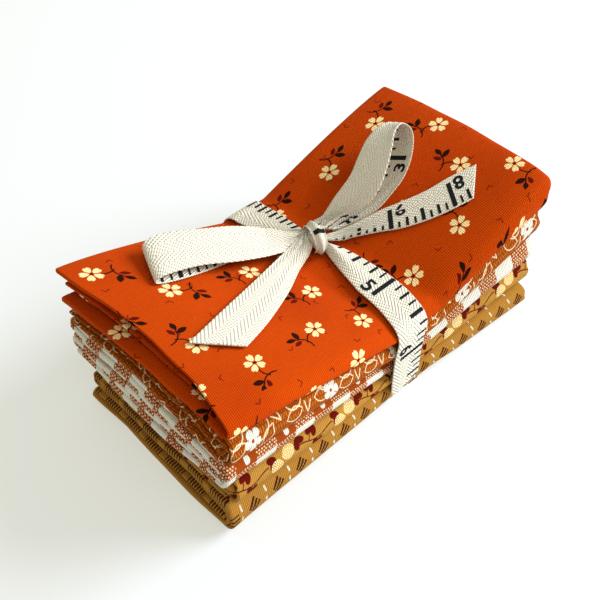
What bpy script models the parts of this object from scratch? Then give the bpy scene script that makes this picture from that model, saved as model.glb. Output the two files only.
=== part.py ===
"""A bundle of five folded fat quarters, tied round the middle with one length of twill tape.

Each fat quarter is one strip of cloth, folded back and forth into six panels and then in half, so that its
long front side (-Y) is one round fold and its short ends (-X and +X) show the layers. The tape pulls the pile
in at its waist. It passes flat under the pile and ends on top in a knot with two loops and two cut tails.
Metres, +Z up, +X along the bundle. The origin is on the surface that it rests on, under the middle.
"""

import math
from collections import namedtuple

import bmesh
import bpy
from mathutils import Vector

MM = 0.001

# Driving sizes of the folded cloth
LENGTH = 133 * MM
WIDTH = 73 * MM
PANELS = 6
PLY_SHARE = 0.125  # thickness of one panel, as a share of its cloth's thickness
NOMINAL_THICK = 9 * MM  # thickness of one folded cloth at which its folds are round
CLOTH_GAP = 0.4 * MM
FREE_EDGE_IN = 1.1 * MM  # how far in from the back the strip's two free edges stop
INNER_TURN_IN = 0.6 * MM  # and how far in its lower turn stops
END_ROUND = 1.0 * MM  # how far from a panel's end it starts to thin
END_THIN = 0.55  # what is left of its thickness at the very end

# Driving sizes of the waist
WAIST_X = 6 * MM
WAIST_SLANT = -0.12  # how far the waist runs along X for each metre along Y
WAIST_FLAT = 9 * MM  # half the length over which the tape holds the pile flat
SWELL_POWER = 1.25
FOOT_RISE = (9 * MM, 24 * MM)  # the underside comes down to the floor this far from the waist
EDGE_BAND = 10 * MM  # how far from its long edges the pile starts to round off
EDGE_DROP = 3 * MM
END_DROP_SHARE = 0.35  # what is left of that drop where the pile has swollen fully
FRONT_PULL = 1.8 * MM  # how far the tape pulls the long sides in at the waist
BACK_PULL = 2.2 * MM
PINCH_REACH = 12 * MM  # how far in from its front fold a pinched cloth is thinned

# Driving sizes of the tape
TAPE_WIDTH = 12.6 * MM
TAPE_THICK = 1.0 * MM
TAPE_GAP = 0.35 * MM
TAPE_COLOUR = (0.75, 0.70, 0.58)
FOOT_CORNER = 3.2 * MM  # radii of the turn of tape at the floor and at the top
TOP_CORNER = 5.0 * MM
FRONT_FOOT_IN = 1.2 * MM  # how much further in the turn of tape is at the floor than at mid height
BACK_FOOT_IN = 0.6 * MM
MID_HEIGHT = 16 * MM
SECTIONS_A_STEP = 3
CUT_SECTIONS = 4  # the last sections of a tail, which slant towards its cut end

FABRIC_ROUGHNESS = 0.9
SHARP_FROM = math.radians(40)

Level = namedtuple("Level", "left_front left_back waist_front waist_back right_front right_back drop")
# Heights in millimetres of the surfaces between the cloths, from the floor up. drop is their share of
# EDGE_DROP
LEVELS = [
    Level(0.0, 0.0, 1.2, 1.2, 0.0, 0.0, 0.0),
    Level(14.5, 11.0, 8.2, 8.2, 9.0, 9.0, 0.0),
    Level(24.0, 20.0, 14.6, 14.8, 20.5, 20.0, 0.0),
    Level(33.5, 29.0, 20.6, 21.0, 32.5, 31.0, 0.1),
    Level(45.0, 39.5, 29.0, 28.2, 44.5, 42.0, 0.3),
    Level(50.5, 55.0, 34.6, 36.0, 55.0, 53.0, 1.0),
]

Cloth = namedtuple("Cloth", "name left right front back pinch turn colour")
# left, right, front and back are distances in millimetres from the middle; pinch thins the front fold,
# and turn rotates the cloth about Z, in degrees
CLOTHS = [
    Cloth("cloth_5_stroke", 66.4, 66.2, 35.2, 36.2, 0.0, 0.0, (0.43, 0.22, 0.05)),
    Cloth("cloth_4_vine", 65.2, 66.5, 36.0, 35.4, 0.1, 0.3, (0.50, 0.26, 0.07)),
    Cloth("cloth_3_check", 66.6, 63.8, 35.6, 36.4, 0.0, -0.3, (0.52, 0.22, 0.10)),
    Cloth("cloth_2_leaf", 66.0, 64.4, 36.5, 35.8, 0.1, 0.2, (0.38, 0.09, 0.02)),
    Cloth("cloth_1_sprig", 66.9, 66.2, 36.5, 36.5, 0.35, -0.2, (0.62, 0.10, 0.01)),
]
PANEL_ENDS = (0.0, 0.9, -0.5, 0.7, -0.2, 0.5)  # how far in each panel ends, in millimetres, from the bottom
CORNER_ROUND = 1.8 * MM  # how far the top cloth's right front corner is rounded off
CORNER_REACH = 12 * MM
# Places along X of the sections between a cloth's ends, in millimetres from the waist
STATIONS = (-52, -36, -22, -9, 9, 20, 33, 46)

# Places and shapes of the tape's free parts
Step = namedtuple("Step", "x y lift width facing lean")
# x and y in millimetres, lift in millimetres above the top cloth, width in tape widths. facing is the
# direction across the tape, in degrees from +X towards +Y, and lean is how far that side rises, in degrees
LEFT_LOOP = [
    Step(5, 9.5, 4.0, 0.45, 76, 0),
    Step(-3, 12.0, 5.5, 0.70, 73, 0),
    Step(-14, 16.0, 6.2, 0.95, 70, 0),
    Step(-27, 20.5, 6.4, 1.0, 67, 0),
    Step(-38, 24.2, 5.6, 1.0, 63, 0),
    Step(-43.2, 25.8, 3.4, 1.0, 62, 0),
    Step(-39, 24.8, 1.5, 1.0, 63, 0),
    Step(-28, 21.5, 1.2, 1.0, 67, 0),
    Step(-15, 16.5, 1.2, 0.95, 70, 0),
    Step(-4, 12.0, 1.6, 0.70, 73, 0),
    Step(4, 9.0, 2.6, 0.45, 76, 0),
]
RIGHT_LOOP = [
    Step(9, 9.5, 4.0, 0.45, 98, 10),
    Step(16, 11.5, 7.5, 0.75, 100, 20),
    Step(25, 13.0, 10.0, 0.95, 101, 26),
    Step(35, 14.0, 11.0, 1.0, 102, 28),
    Step(43, 14.0, 10.0, 1.0, 102, 28),
    Step(47.5, 12.6, 7.0, 1.0, 102, 25),
    Step(46, 11.0, 4.0, 1.0, 102, 20),
    Step(38, 9.0, 2.6, 1.0, 102, 12),
    Step(28, 7.6, 2.2, 0.95, 101, 6),
    Step(18, 7.2, 2.2, 0.80, 100, 2),
    Step(10, 8.5, 2.8, 0.45, 98, 0),
]
RIGHT_TAIL = [
    Step(8, 7.0, 2.2, 0.45, 72, 0),
    Step(17, 2.0, 1.3, 0.60, 70, 0),
    Step(28, -4.5, 1.0, 0.90, 67, 0),
    Step(40, -10.3, 0.95, 1.0, 65, 0),
    Step(53.8, -16.1, 0.95, 1.0, 64, 0),
]
FRONT_TAIL = [
    Step(6, 8.0, 2.4, 0.45, 105, 0),
    Step(-4, 4.2, 1.5, 0.65, 108, 0),
    Step(-15, 0.0, 1.0, 0.92, 111, 0),
    Step(-30, -5.6, 0.95, 1.0, 112, 0),
    Step(-47.3, -11.0, 0.95, 1.0, 112, 0),
]
TAIL_CUT = 4.6 * MM  # how far each tail's slanting end runs along the tape, to either side of its middle
KNOT_AT = (6.8, 8.6, 4.3)  # x, y and height above the top cloth, in millimetres
KNOT_SIZE = (12.5, 11.5, 7.6)  # along X, Y and Z, in millimetres
KNOT_FULLNESS = 0.75  # under 1 makes the lump squarer
KNOT_DRAWN_IN = 0.16  # how much narrower it is across its middle


def blend(a, b, share):
    return a + (b - a) * share


def smooth(share):
    share = min(1.0, max(0.0, share))
    return share * share * (3 - 2 * share)


def waist_x(y):
    return WAIST_X + WAIST_SLANT * y


def swell(x, y):
    """How far the pile has swollen from its waist to its end, from 0 to 1, and which end it is."""
    away = x - waist_x(y)
    reach = LENGTH / 2 + (waist_x(y) if away < 0 else -waist_x(y))
    share = min(1.0, max(0.0, (abs(away) - WAIST_FLAT) / (reach - WAIST_FLAT)))
    return 1 - (1 - share) ** SWELL_POWER, away < 0


def level_height(index, x, y):
    """Height of one of the surfaces between the cloths."""
    level = LEVELS[index]
    back = min(1.0, max(0.0, y / WIDTH + 0.5))
    waist = blend(level.waist_front, level.waist_back, back) * MM
    share, is_left = swell(x, y)
    if is_left:
        end = blend(level.left_front, level.left_back, back) * MM
    else:
        end = blend(level.right_front, level.right_back, back) * MM
    if index == 0:
        away = abs(x - waist_x(y))
        return waist * (1 - smooth((away - FOOT_RISE[0]) / (FOOT_RISE[1] - FOOT_RISE[0])))
    inset = min(y + WIDTH / 2, WIDTH / 2 - y)
    edge = max(0.0, 1 - max(0.0, inset) / EDGE_BAND)
    drop = EDGE_DROP * blend(1, END_DROP_SHARE, share)
    return blend(waist, end, share) - level.drop * drop * edge * edge


def top_height(x, y):
    return level_height(len(LEVELS) - 1, x, y)


def panel_level(panel):
    """Height of a panel's middle, as a share of its cloth's thickness; panels count from 1 at the bottom."""
    return PLY_SHARE / 2 + (panel - 1) * (1 - PLY_SHARE) / (PANELS - 1)


def fold_path():
    """The strip's middle line as (y, share of thickness, panel), from its lower free edge on."""
    pitch = (1 - PLY_SHARE) / (PANELS - 1) * NOMINAL_THICK
    front = -WIDTH / 2 + PLY_SHARE / 2 * NOMINAL_THICK + 2.5 * pitch
    back = WIDTH / 2 - PLY_SHARE / 2 * NOMINAL_THICK - 0.5 * pitch
    points = []

    def run(panel, start, end, pieces):
        for i in range(pieces):
            points.append((blend(start, end, i / pieces), panel_level(panel), panel))

    def turn(lower, upper, centre, outward, pieces, upwards):
        """A half circle that joins two panels at centre, bulging towards outward (-1 front, 1 back)."""
        radius = (panel_level(upper) - panel_level(lower)) / 2
        middle = (panel_level(upper) + panel_level(lower)) / 2
        for i in range(pieces):
            angle = math.pi * i / pieces - math.pi / 2
            rise = math.sin(angle if upwards else -angle)
            y = centre + outward * math.cos(angle) * radius * NOMINAL_THICK
            points.append((y, middle + radius * rise, blend(lower, upper, 0.5 + rise / 2)))

    run(1, back - FREE_EDGE_IN, front, 4)
    turn(1, 6, front, -1, 7, True)
    run(6, front, back, 4)
    turn(5, 6, back, 1, 3, False)
    run(5, back, front, 3)
    turn(2, 5, front, -1, 5, False)
    run(2, front, back - INNER_TURN_IN, 3)
    turn(2, 3, back - INNER_TURN_IN, 1, 3, True)
    run(3, back - INNER_TURN_IN, front, 3)
    turn(3, 4, front, -1, 4, True)
    run(4, front, back - FREE_EDGE_IN, 3)
    points.append((back - FREE_EDGE_IN, panel_level(4), 4))
    return points


def both_sides(path, thickness):
    """The strip's two sides, half its thickness from its middle line, as lists of (y, share, panel)."""
    sides = ([], [])
    for i, (y, share, panel) in enumerate(path):
        before = path[max(0, i - 1)]
        after = path[min(len(path) - 1, i + 1)]
        into = Vector((y - before[0], (share - before[1]) * NOMINAL_THICK))
        out = Vector((after[0] - y, (after[1] - share) * NOMINAL_THICK))
        into = into.normalized() if into.length > 0 else out.normalized()
        out = out.normalized() if out.length > 0 else into
        along = (into + out).normalized()
        mitre = 1 / max(0.6, along.dot(out))
        normal = Vector((-along.y, along.x)) * thickness / 2 * mitre
        for side, sign in zip(sides, (1, -1)):
            side.append((y + sign * normal.x, share + sign * normal.y / NOMINAL_THICK, panel))
    return sides


def panel_end(panel):
    low = min(PANELS - 1, int(panel))
    return blend(PANEL_ENDS[low - 1], PANEL_ENDS[low], panel - low) * MM


def place(cloth, index, x, y, share):
    """A point of a flat, evenly folded strip, moved to where the tied pile holds it."""
    held, _ = swell(x, y)
    front = -cloth.front * MM + FRONT_PULL * (1 - held)
    back = cloth.back * MM - BACK_PULL * (1 - held)
    across = y / WIDTH + 0.5
    world_y = blend(front, back, across) + math.radians(cloth.turn) * x
    bottom = level_height(index, x, world_y) + CLOTH_GAP / 2 * (index > 0)
    top = level_height(index + 1, x, world_y) - CLOTH_GAP / 2
    tip = max(0.0, 1 - across * WIDTH / PINCH_REACH)
    share = 0.5 + (share - 0.5) * (1 - cloth.pinch * tip * tip)
    return (x, world_y, blend(bottom, top, share))


def end_of(cloth, index, is_left, y, panel):
    """Where a panel ends along X; the top cloth's right front corner is rounded."""
    if is_left:
        return -cloth.left * MM + panel_end(panel)
    end = cloth.right * MM - panel_end(PANELS + 1 - panel)
    if index == len(CLOTHS) - 1:
        inset = max(0.0, 1 - (y + WIDTH / 2) / CORNER_REACH)
        end -= CORNER_ROUND * inset**2
    return end


def cloth_sections(cloth, index):
    """Rings of points, one at each place along X, that run round the strip's whole edge."""
    path = fold_path()
    full = both_sides(path, PLY_SHARE * NOMINAL_THICK)
    thin = both_sides(path, PLY_SHARE * NOMINAL_THICK * END_THIN)
    rings = []
    for is_left, sides, inset in ((True, thin, 0.0), (True, full, END_ROUND)):
        ring = sides[0] + sides[1][::-1]
        rings.append([(end_of(cloth, index, is_left, y, p) + inset, y, s) for y, s, p in ring])
    ring = full[0] + full[1][::-1]
    for station in STATIONS:
        rings.append([(waist_x(y) + station * MM, y, s) for y, s, _ in ring])
    for is_left, sides, inset in ((False, full, END_ROUND), (False, thin, 0.0)):
        ring = sides[0] + sides[1][::-1]
        rings.append([(end_of(cloth, index, is_left, y, p) - inset, y, s) for y, s, p in ring])
    return [[place(cloth, index, *point) for point in ring] for ring in rings]


def mesh_object(name, mesh_data, colour):
    """A mesh object with its own material."""
    mesh = bpy.data.meshes.new(name)
    mesh_data.to_mesh(mesh)
    mesh_data.free()
    obj = bpy.data.objects.new(name, mesh)
    bpy.context.scene.collection.objects.link(obj)
    material = bpy.data.materials.new(name)
    material.use_nodes = True
    shader = material.node_tree.nodes["Principled BSDF"]
    shader.inputs["Base Color"].default_value = (*colour, 1)
    shader.inputs["Roughness"].default_value = FABRIC_ROUGHNESS
    shader.inputs["Metallic"].default_value = 0
    mesh.materials.append(material)
    mesh.shade_smooth()
    mesh.set_sharp_from_angle(angle=SHARP_FROM)
    return obj


def close_body(mesh_data):
    """Turns every face of a closed body outwards."""
    bmesh.ops.recalc_face_normals(mesh_data, faces=mesh_data.faces)
    if mesh_data.calc_volume(signed=True) < 0:
        bmesh.ops.reverse_faces(mesh_data, faces=mesh_data.faces)


def make_cloth(cloth, index):
    """One folded fat quarter: a strip that runs back and forth, closed at its two short ends."""
    rings = cloth_sections(cloth, index)
    mesh_data = bmesh.new()
    grid = [[mesh_data.verts.new(point) for point in ring] for ring in rings]
    count = len(grid[0])
    for low, high in zip(grid, grid[1:]):
        for i in range(count):
            j = (i + 1) % count
            mesh_data.faces.new((low[i], low[j], high[j], high[i]))
    for ring in (grid[0], grid[-1]):
        for i in range(count // 2 - 1):
            mesh_data.faces.new((ring[i], ring[i + 1], ring[count - 2 - i], ring[count - 1 - i]))
    close_body(mesh_data)
    return mesh_object(cloth.name, mesh_data, cloth.colour)


def curve_through(rows, pieces):
    """Evenly stepped rows on a smooth curve through the given rows of numbers."""
    out = []
    last = len(rows) - 1
    for i in range(last):
        around = [rows[max(0, i - 1)], rows[i], rows[i + 1], rows[min(last, i + 2)]]
        for k in range(pieces):
            t = k / pieces
            weights = (
                (-t + 2 * t**2 - t**3) / 2,
                (2 - 5 * t**2 + 3 * t**3) / 2,
                (t + 4 * t**2 - 3 * t**3) / 2,
                (t**3 - t**2) / 2,
            )
            out.append([sum(w * row[c] for w, row in zip(weights, around)) for c in range(len(rows[0]))])
    out.append(list(rows[last]))
    return out


def ribbon_body(mesh_data, lefts, rights, normals, closed=False):
    """A flat tape of TAPE_THICK between two edge lines."""
    rings = []
    for left, right, normal in zip(lefts, rights, normals):
        up = normal * (TAPE_THICK / 2)
        rings.append([mesh_data.verts.new(p) for p in (left + up, right + up, right - up, left - up)])
    pairs = list(zip(rings, rings[1:]))
    if closed:
        pairs.append((rings[-1], rings[0]))
    for low, high in pairs:
        for i in range(4):
            j = (i + 1) % 4
            mesh_data.faces.new((low[i], low[j], high[j], high[i]))
    if not closed:
        mesh_data.faces.new(rings[0])
        mesh_data.faces.new(rings[-1][::-1])
    close_body(mesh_data)


def free_part(name, steps, cut):
    """A loop or tail of the tape as its own body, before it is joined to the knot."""
    rows = [
        (s.x * MM, s.y * MM, s.lift * MM, s.width * TAPE_WIDTH, math.radians(s.facing), math.radians(s.lean))
        for s in steps
    ]
    rows = curve_through(rows, SECTIONS_A_STEP)
    centres = [Vector((x, y, top_height(x, y) + lift)) for x, y, lift, *_ in rows]
    lefts, rights, normals = [], [], []
    for i, (x, y, lift, width, facing, lean) in enumerate(rows):
        along = (centres[min(i + 1, len(rows) - 1)] - centres[max(i - 1, 0)]).normalized()
        level = Vector((math.cos(facing), math.sin(facing), 0))
        ends = []
        for sign in (1, -1):
            slant = cut * sign * smooth((i + 1 + CUT_SECTIONS - len(rows)) / CUT_SECTIONS)
            reach = sign * width / 2
            point = Vector((x, y, 0)) + level * (reach * math.cos(lean)) + along * slant
            height = top_height(point.x, point.y) + lift + reach * math.sin(lean)
            ends.append(Vector((point.x, point.y, height)))
        lefts.append(ends[0])
        rights.append(ends[1])
        normals.append(along.cross(ends[0] - ends[1]).normalized())
    mesh_data = bmesh.new()
    ribbon_body(mesh_data, lefts, rights, normals)
    return mesh_object(name, mesh_data, TAPE_COLOUR)


def band_route():
    """The tape's way round the waist in the plane across the bundle, as (y, z) points of its middle."""
    off = TAPE_GAP + TAPE_THICK / 2
    foot = TAPE_THICK / 2
    front = -max(c.front for c in CLOTHS) * MM + FRONT_PULL - off
    back = max(c.back for c in CLOTHS) * MM - BACK_PULL + off
    low_front = front + FRONT_FOOT_IN
    low_back = back - BACK_FOOT_IN
    route = []

    def corner(y, z, radius, start):
        for i in range(5):
            angle = math.radians(start + 90 * i / 4)
            route.append((y + radius * math.cos(angle), z + radius * math.sin(angle)))

    corner(low_back - FOOT_CORNER, foot + FOOT_CORNER, FOOT_CORNER, -90)
    route.append((blend(low_back, back, 0.6), MID_HEIGHT))
    corner(back - TOP_CORNER, LEVELS[-1].waist_back * MM + off - TOP_CORNER, TOP_CORNER, 0)
    for share in (0.2, 0.4, 0.6, 0.8):
        y = blend(back - TOP_CORNER, front + TOP_CORNER, share)
        route.append((y, top_height(waist_x(y), y) + off))
    corner(front + TOP_CORNER, LEVELS[-1].waist_front * MM + off - TOP_CORNER, TOP_CORNER, 90)
    route.append((blend(low_front, front, 0.6), MID_HEIGHT))
    corner(low_front + FOOT_CORNER, foot + FOOT_CORNER, FOOT_CORNER, 180)
    for share in (0.25, 0.5, 0.75):
        route.append((blend(low_front + FOOT_CORNER, low_back - FOOT_CORNER, share), foot))
    return route


def tape_band():
    """The closed turn of tape round the waist."""
    route = band_route()
    lefts, rights, normals = [], [], []
    for i, (y, z) in enumerate(route):
        before = route[i - 1]
        after = route[(i + 1) % len(route)]
        along = Vector((0, after[0] - before[0], after[1] - before[1])).normalized()
        middle = Vector((waist_x(y), y, z))
        lefts.append(middle + Vector((TAPE_WIDTH / 2, 0, 0)))
        rights.append(middle - Vector((TAPE_WIDTH / 2, 0, 0)))
        normals.append(Vector((1, 0, 0)).cross(along).normalized())
    mesh_data = bmesh.new()
    ribbon_body(mesh_data, lefts, rights, normals, closed=True)
    return mesh_object("tape_bow", mesh_data, TAPE_COLOUR)


def knot():
    """The knot: a rounded lump, drawn in where the tape's own turn crosses it."""
    mesh_data = bmesh.new()
    bmesh.ops.create_uvsphere(mesh_data, u_segments=16, v_segments=10, radius=0.5)
    x0, y0, lift = (v * MM for v in KNOT_AT)
    size = [v * MM for v in KNOT_SIZE]
    z0 = top_height(x0, y0) + lift
    for vert in mesh_data.verts:
        spread = [math.copysign(abs(2 * c) ** KNOT_FULLNESS, c) / 2 for c in vert.co]
        waist = 1 - KNOT_DRAWN_IN * (1 - abs(2 * vert.co.x)) ** 2
        vert.co = Vector((
            x0 + spread[0] * size[0],
            y0 + spread[1] * size[1] * waist,
            z0 + spread[2] * size[2],
        ))
    close_body(mesh_data)
    return mesh_object("knot", mesh_data, TAPE_COLOUR)


def make_tape():
    """The whole length of tape as one body."""
    band = tape_band()
    others = [
        knot(),
        free_part("left_loop", LEFT_LOOP, 0.0),
        free_part("right_loop", RIGHT_LOOP, 0.0),
        free_part("right_tail", RIGHT_TAIL, TAIL_CUT),
        free_part("front_tail", FRONT_TAIL, TAIL_CUT),
    ]
    for other in others:
        other.hide_render = True
        other.display_type = "WIRE"
        join = band.modifiers.new("join_" + other.name, "BOOLEAN")
        join.operation = "UNION"
        join.solver = "EXACT"
        join.object = other
    return band


def main():
    for obj in list(bpy.data.objects):
        bpy.data.objects.remove(obj, do_unlink=True)
    for index, cloth in enumerate(CLOTHS):
        make_cloth(cloth, index)
    make_tape()


main()
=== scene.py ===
"""The looks of five folded fat quarters, tied round the middle with one length of twill tape.

The file is laid out as a Blender add-on and is run as a script. Each cloth is one thin sheet that carries its
whole print. It is folded in four along the bundle, then in six across it, and pressed to the shape that the
tape gives the pile. The tape is one length: its turn round the pile, the knot, two loops and two cut tails.
Metres, +Z up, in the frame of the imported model.
"""

import math
from collections import namedtuple
from functools import partialmethod

import bpy
import numpy as np
from mathutils import Matrix, Vector


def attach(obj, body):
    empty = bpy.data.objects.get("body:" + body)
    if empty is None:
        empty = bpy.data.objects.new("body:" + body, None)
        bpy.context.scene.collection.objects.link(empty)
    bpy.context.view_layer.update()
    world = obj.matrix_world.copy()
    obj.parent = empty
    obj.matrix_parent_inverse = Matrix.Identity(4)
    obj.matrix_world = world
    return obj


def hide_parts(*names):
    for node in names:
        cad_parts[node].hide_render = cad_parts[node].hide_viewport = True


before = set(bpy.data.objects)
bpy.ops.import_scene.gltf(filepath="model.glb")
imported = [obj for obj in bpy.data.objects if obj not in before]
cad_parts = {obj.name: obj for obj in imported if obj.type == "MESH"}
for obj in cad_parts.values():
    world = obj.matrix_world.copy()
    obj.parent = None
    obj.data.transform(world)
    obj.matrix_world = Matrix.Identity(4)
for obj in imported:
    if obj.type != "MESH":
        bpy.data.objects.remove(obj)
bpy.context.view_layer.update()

bl_info = {
    "name": "Tied Fabric Bundle",
    "version": (1, 0, 0),
    "blender": (4, 5, 0),
    "location": "3D View > Sidebar > Fabric Bundle",
    "description": "Five folded fat quarters tied with a length of twill tape",
    "category": "Add Mesh",
}

MM = 0.001
MM_PER_METRE = 1000.0

# Sizes of the folded pile, as its solids have them
LENGTH = 133 * MM
WIDTH = 73 * MM
PANELS = 6
PLY_SHARE = 0.125
NOMINAL_THICK = 9 * MM
CLOTH_GAP = 0.4 * MM
FREE_EDGE_IN = 1.1 * MM
INNER_TURN_IN = 0.6 * MM
WAIST_X = 6 * MM
WAIST_SLANT = -0.12
WAIST_FLAT = 9 * MM
SWELL_POWER = 1.25
FOOT_RISE = (9 * MM, 24 * MM)
EDGE_BAND = 10 * MM
EDGE_DROP = 1.4 * MM
END_DROP_SHARE = 0.35
FRONT_PULL = 1.8 * MM
BACK_PULL = 0.4 * MM
PINCH_REACH = 12 * MM
CORNER_REACH = 15 * MM
TAPE_GAP = 0.35 * MM
SOLID_TAPE = 1.0 * MM
FOOT_CORNER = 3.2 * MM
TOP_CORNER = 5.0 * MM
FRONT_FOOT_IN = 1.2 * MM
BACK_FOOT_IN = 0.6 * MM
# A height about half way up each side, and how much of the way out the band has come there
MID_HEIGHT = 16 * MM
MID_OUT = 0.6

Level = namedtuple("Level", "left_front left_back waist_front waist_back right_front right_back drop")
# Heights in millimetres of the surfaces between the cloths, from the floor up
LEVELS = [
    Level(0.0, 0.0, 1.2, 1.2, 0.0, 0.0, 0.0),
    Level(13.6, 10.6, 8.2, 8.2, 9.0, 9.0, 0.0),
    Level(24.0, 19.6, 14.6, 14.8, 20.5, 20.0, 0.0),
    Level(34.2, 33.6, 20.6, 21.0, 32.5, 31.0, 0.1),
    Level(45.0, 42.0, 29.0, 28.2, 44.5, 42.0, 0.3),
    Level(50.5, 55.0, 34.6, 36.0, 55.0, 53.0, 1.0),
]

Cloth = namedtuple(
    "Cloth", "left right front back pinch turn puff short_back short_front middle_in ends plies"
)
# left to back are distances in millimetres from the middle. pinch is the share by which the front fold's tip
# is thinner. turn is in degrees. puff is how much the folded ends swell. short_back, short_front and
# middle_in are how far the left end's back, front and middle lie in, in millimetres. ends is how far in each
# panel's end lies, in millimetres, from the bottom up. plies is where each panel begins in the cloth's
# thickness there
CLOTHS = {
    "cloth_5_stroke": Cloth(
        66.8, 66.0, 36.4, 36.2, 0.0, -1.1, 0.30, 5.4, 0.0, 0.0,
        ends=(1.0, 0.6, 2.0, 1.0, 2.2, 1.8), plies=(0.0, 0.12, 0.24, 0.36, 0.48, 0.66, 1.0),
    ),
    "cloth_4_vine": Cloth(
        64.9, 66.9, 36.0, 35.4, 0.1, 0.3, 0.16, 6.0, 0.0, 0.0,
        ends=(0.8, 2.0, 0.6, 2.2, 0.4, 1.6), plies=(0.0, 0.2, 0.36, 0.52, 0.68, 0.84, 1.0),
    ),
    "cloth_3_check": Cloth(
        66.8, 64.4, 35.6, 36.4, 0.0, -0.3, 0.34, 0.5, 0.0, 0.0,
        ends=(0.0, 0.5, 0.1, 0.6, 0.2, 0.9), plies=(0.0, 0.17, 0.34, 0.50, 0.66, 0.83, 1.0),
    ),
    "cloth_2_leaf": Cloth(
        67.2, 64.8, 36.5, 35.8, 0.1, 0.2, 0.14, 0.0, 0.0, 3.0,
        ends=(0.8, 2.2, 1.2, 2.6, 1.8, 2.6), plies=(0.0, 0.22, 0.36, 0.5, 0.62, 0.78, 1.0),
    ),
    "cloth_1_sprig": Cloth(
        66.9, 66.8, 36.5, 36.5, 0.35, -0.2, 0.05, 0.0, 1.4, 4.8,
        ends=(-0.6, 3.2, 2.2, 3.6, 2.4, 0.0), plies=(0.0, 0.24, 0.38, 0.52, 0.66, 0.80, 1.0),
    ),
}
CLOTH_ORDER = list(CLOTHS)
TOP_CLOTH = len(CLOTHS) - 1
PLIES_REACH = 30 * MM
# Where the back and the front begin to lie in, as shares of the way from the middle to the left end
SHORT_BACK_FROM = 0.375
SHORT_FRONT_FROM = 0.5
# The share of middle_in that the lowest panel has, and the share of the ends' insets that the right end has
LOWEST_MIDDLE_IN = 0.1
RIGHT_INSET_SHARE = 0.5
RIGHT_BULGE = 0.8 * MM
RIGHT_CROWN = 1.0 * MM
CROWN_FROM = 40 * MM
CROWN_REACH = 28 * MM
CORNER_IN = 9 * MM
PUFF_REACH = 6 * MM
LEFT_SLANT = 2.6 * MM
# How much higher each surface between the cloths is in the middle of the left end, in millimetres
LEFT_BOWS = (0.0, -0.6, -2.2, 3.2, 1.2, -1.0)

# Rows of mesh in the lowest panel, in that and the front fold, in an inner panel, in wide and narrow turns
LOWEST_ROWS = 22
OUTER_ROWS = 40
INNER_ROWS = 20
WIDE_TURN_ROWS = 12
TURN_ROWS = 8
# Columns of mesh round the wide fold at the left end and round the narrow ones
WIDE_FOLD_COLUMNS = 10
FOLD_COLUMNS = 6

# How far the edges wander and the folds vary, each with the length of its bumps
END_WAVE = 0.45 * MM
END_WAVE_LONG = 24 * MM
RIGHT_WAVE = 0.7 * END_WAVE
RIGHT_WAVE_LONG = 22 * MM
FRONT_WAVE = 0.35 * MM
FRONT_WAVE_LONG = 30 * MM
RAW_EDGE_IN = 0.5 * MM
RAW_EDGE_WAVE = 0.4 * MM
RAW_EDGE_WAVE_LONG = 50 * MM
PUFF_WAVE = 0.10
PUFF_WAVE_LONG = 40 * MM

# No crease is deeper than the deepest. At its far end a crease is fainter by its fade. The plies under the
# top one are pressed a little further, so that they stay below it
DEEPEST_TROUGH = 2.2 * MM
TROUGH_FADE = 0.8
INNER_PRESS = 1.15
Trough = namedtuple("Trough", "x0 y0 x1 y1 depth width")
# Soft creases that the tape presses into the top cloth, in millimetres
TROUGHS = [
    Trough(14, -8, 34, -20, 0.9, 3.6),
    Trough(13, 2, 40, -4, 0.7, 4.2),
    Trough(14, 20, 36, 28, 0.8, 4.0),
    Trough(1, -18, -20, -28, 0.6, 3.4),
    Trough(-2, -4, -30, -14, 0.5, 4.5),
    Trough(-3, 22, -26, 29, 0.6, 4.0),
    Trough(-1, -11, -9, -16, 1.0, 5.0),
    Trough(15, -22, 30, -30, 1.0, 5.4),
    Trough(14, 10, 40, 10, 0.7, 6.0),
]

Rung = namedtuple("Rung", "low_x low_y low_lift high_x high_y high_lift")
# Where the two edges of the tape run, in millimetres, each with its height above the top cloth. low is the
# edge that lies nearer the front and high the other one
LEFT_LOOP = [
    Rung(5.2, 9.2, 4.4, 5.8, 10.7, 5.0),
    Rung(-2.5, 8.5, 4.2, 0.4, 13.2, 6.2),
    Rung(-11.7, 9.0, 4.0, -5.4, 18.1, 7.6),
    Rung(-21.6, 10.9, 4.0, -14.1, 21.7, 8.4),
    Rung(-31.7, 14.1, 3.9, -23.3, 24.1, 8.4),
    Rung(-39.4, 15.4, 3.6, -32.4, 27.3, 7.6),
    Rung(-44.3, 16.0, 3.0, -38.6, 28.7, 6.4),
    Rung(-46.6, 16.5, 1.5, -42.0, 28.7, 4.4),
    Rung(-46.3, 16.1, 0.6, -41.4, 27.5, 2.0),
    Rung(-40.3, 14.9, 0.6, -35.1, 26.1, 1.2),
    Rung(-31.1, 14.5, 0.6, -25.7, 25.3, 1.0),
    Rung(-22.1, 14.8, 0.7, -17.1, 24.8, 1.0),
    Rung(-10.3, 15.0, 1.0, -6.7, 22.5, 1.2),
    Rung(0.7, 12.4, 2.4, 2.7, 16.4, 2.6),
    Rung(6.1, 9.7, 3.2, 6.9, 11.2, 3.6),
]
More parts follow.
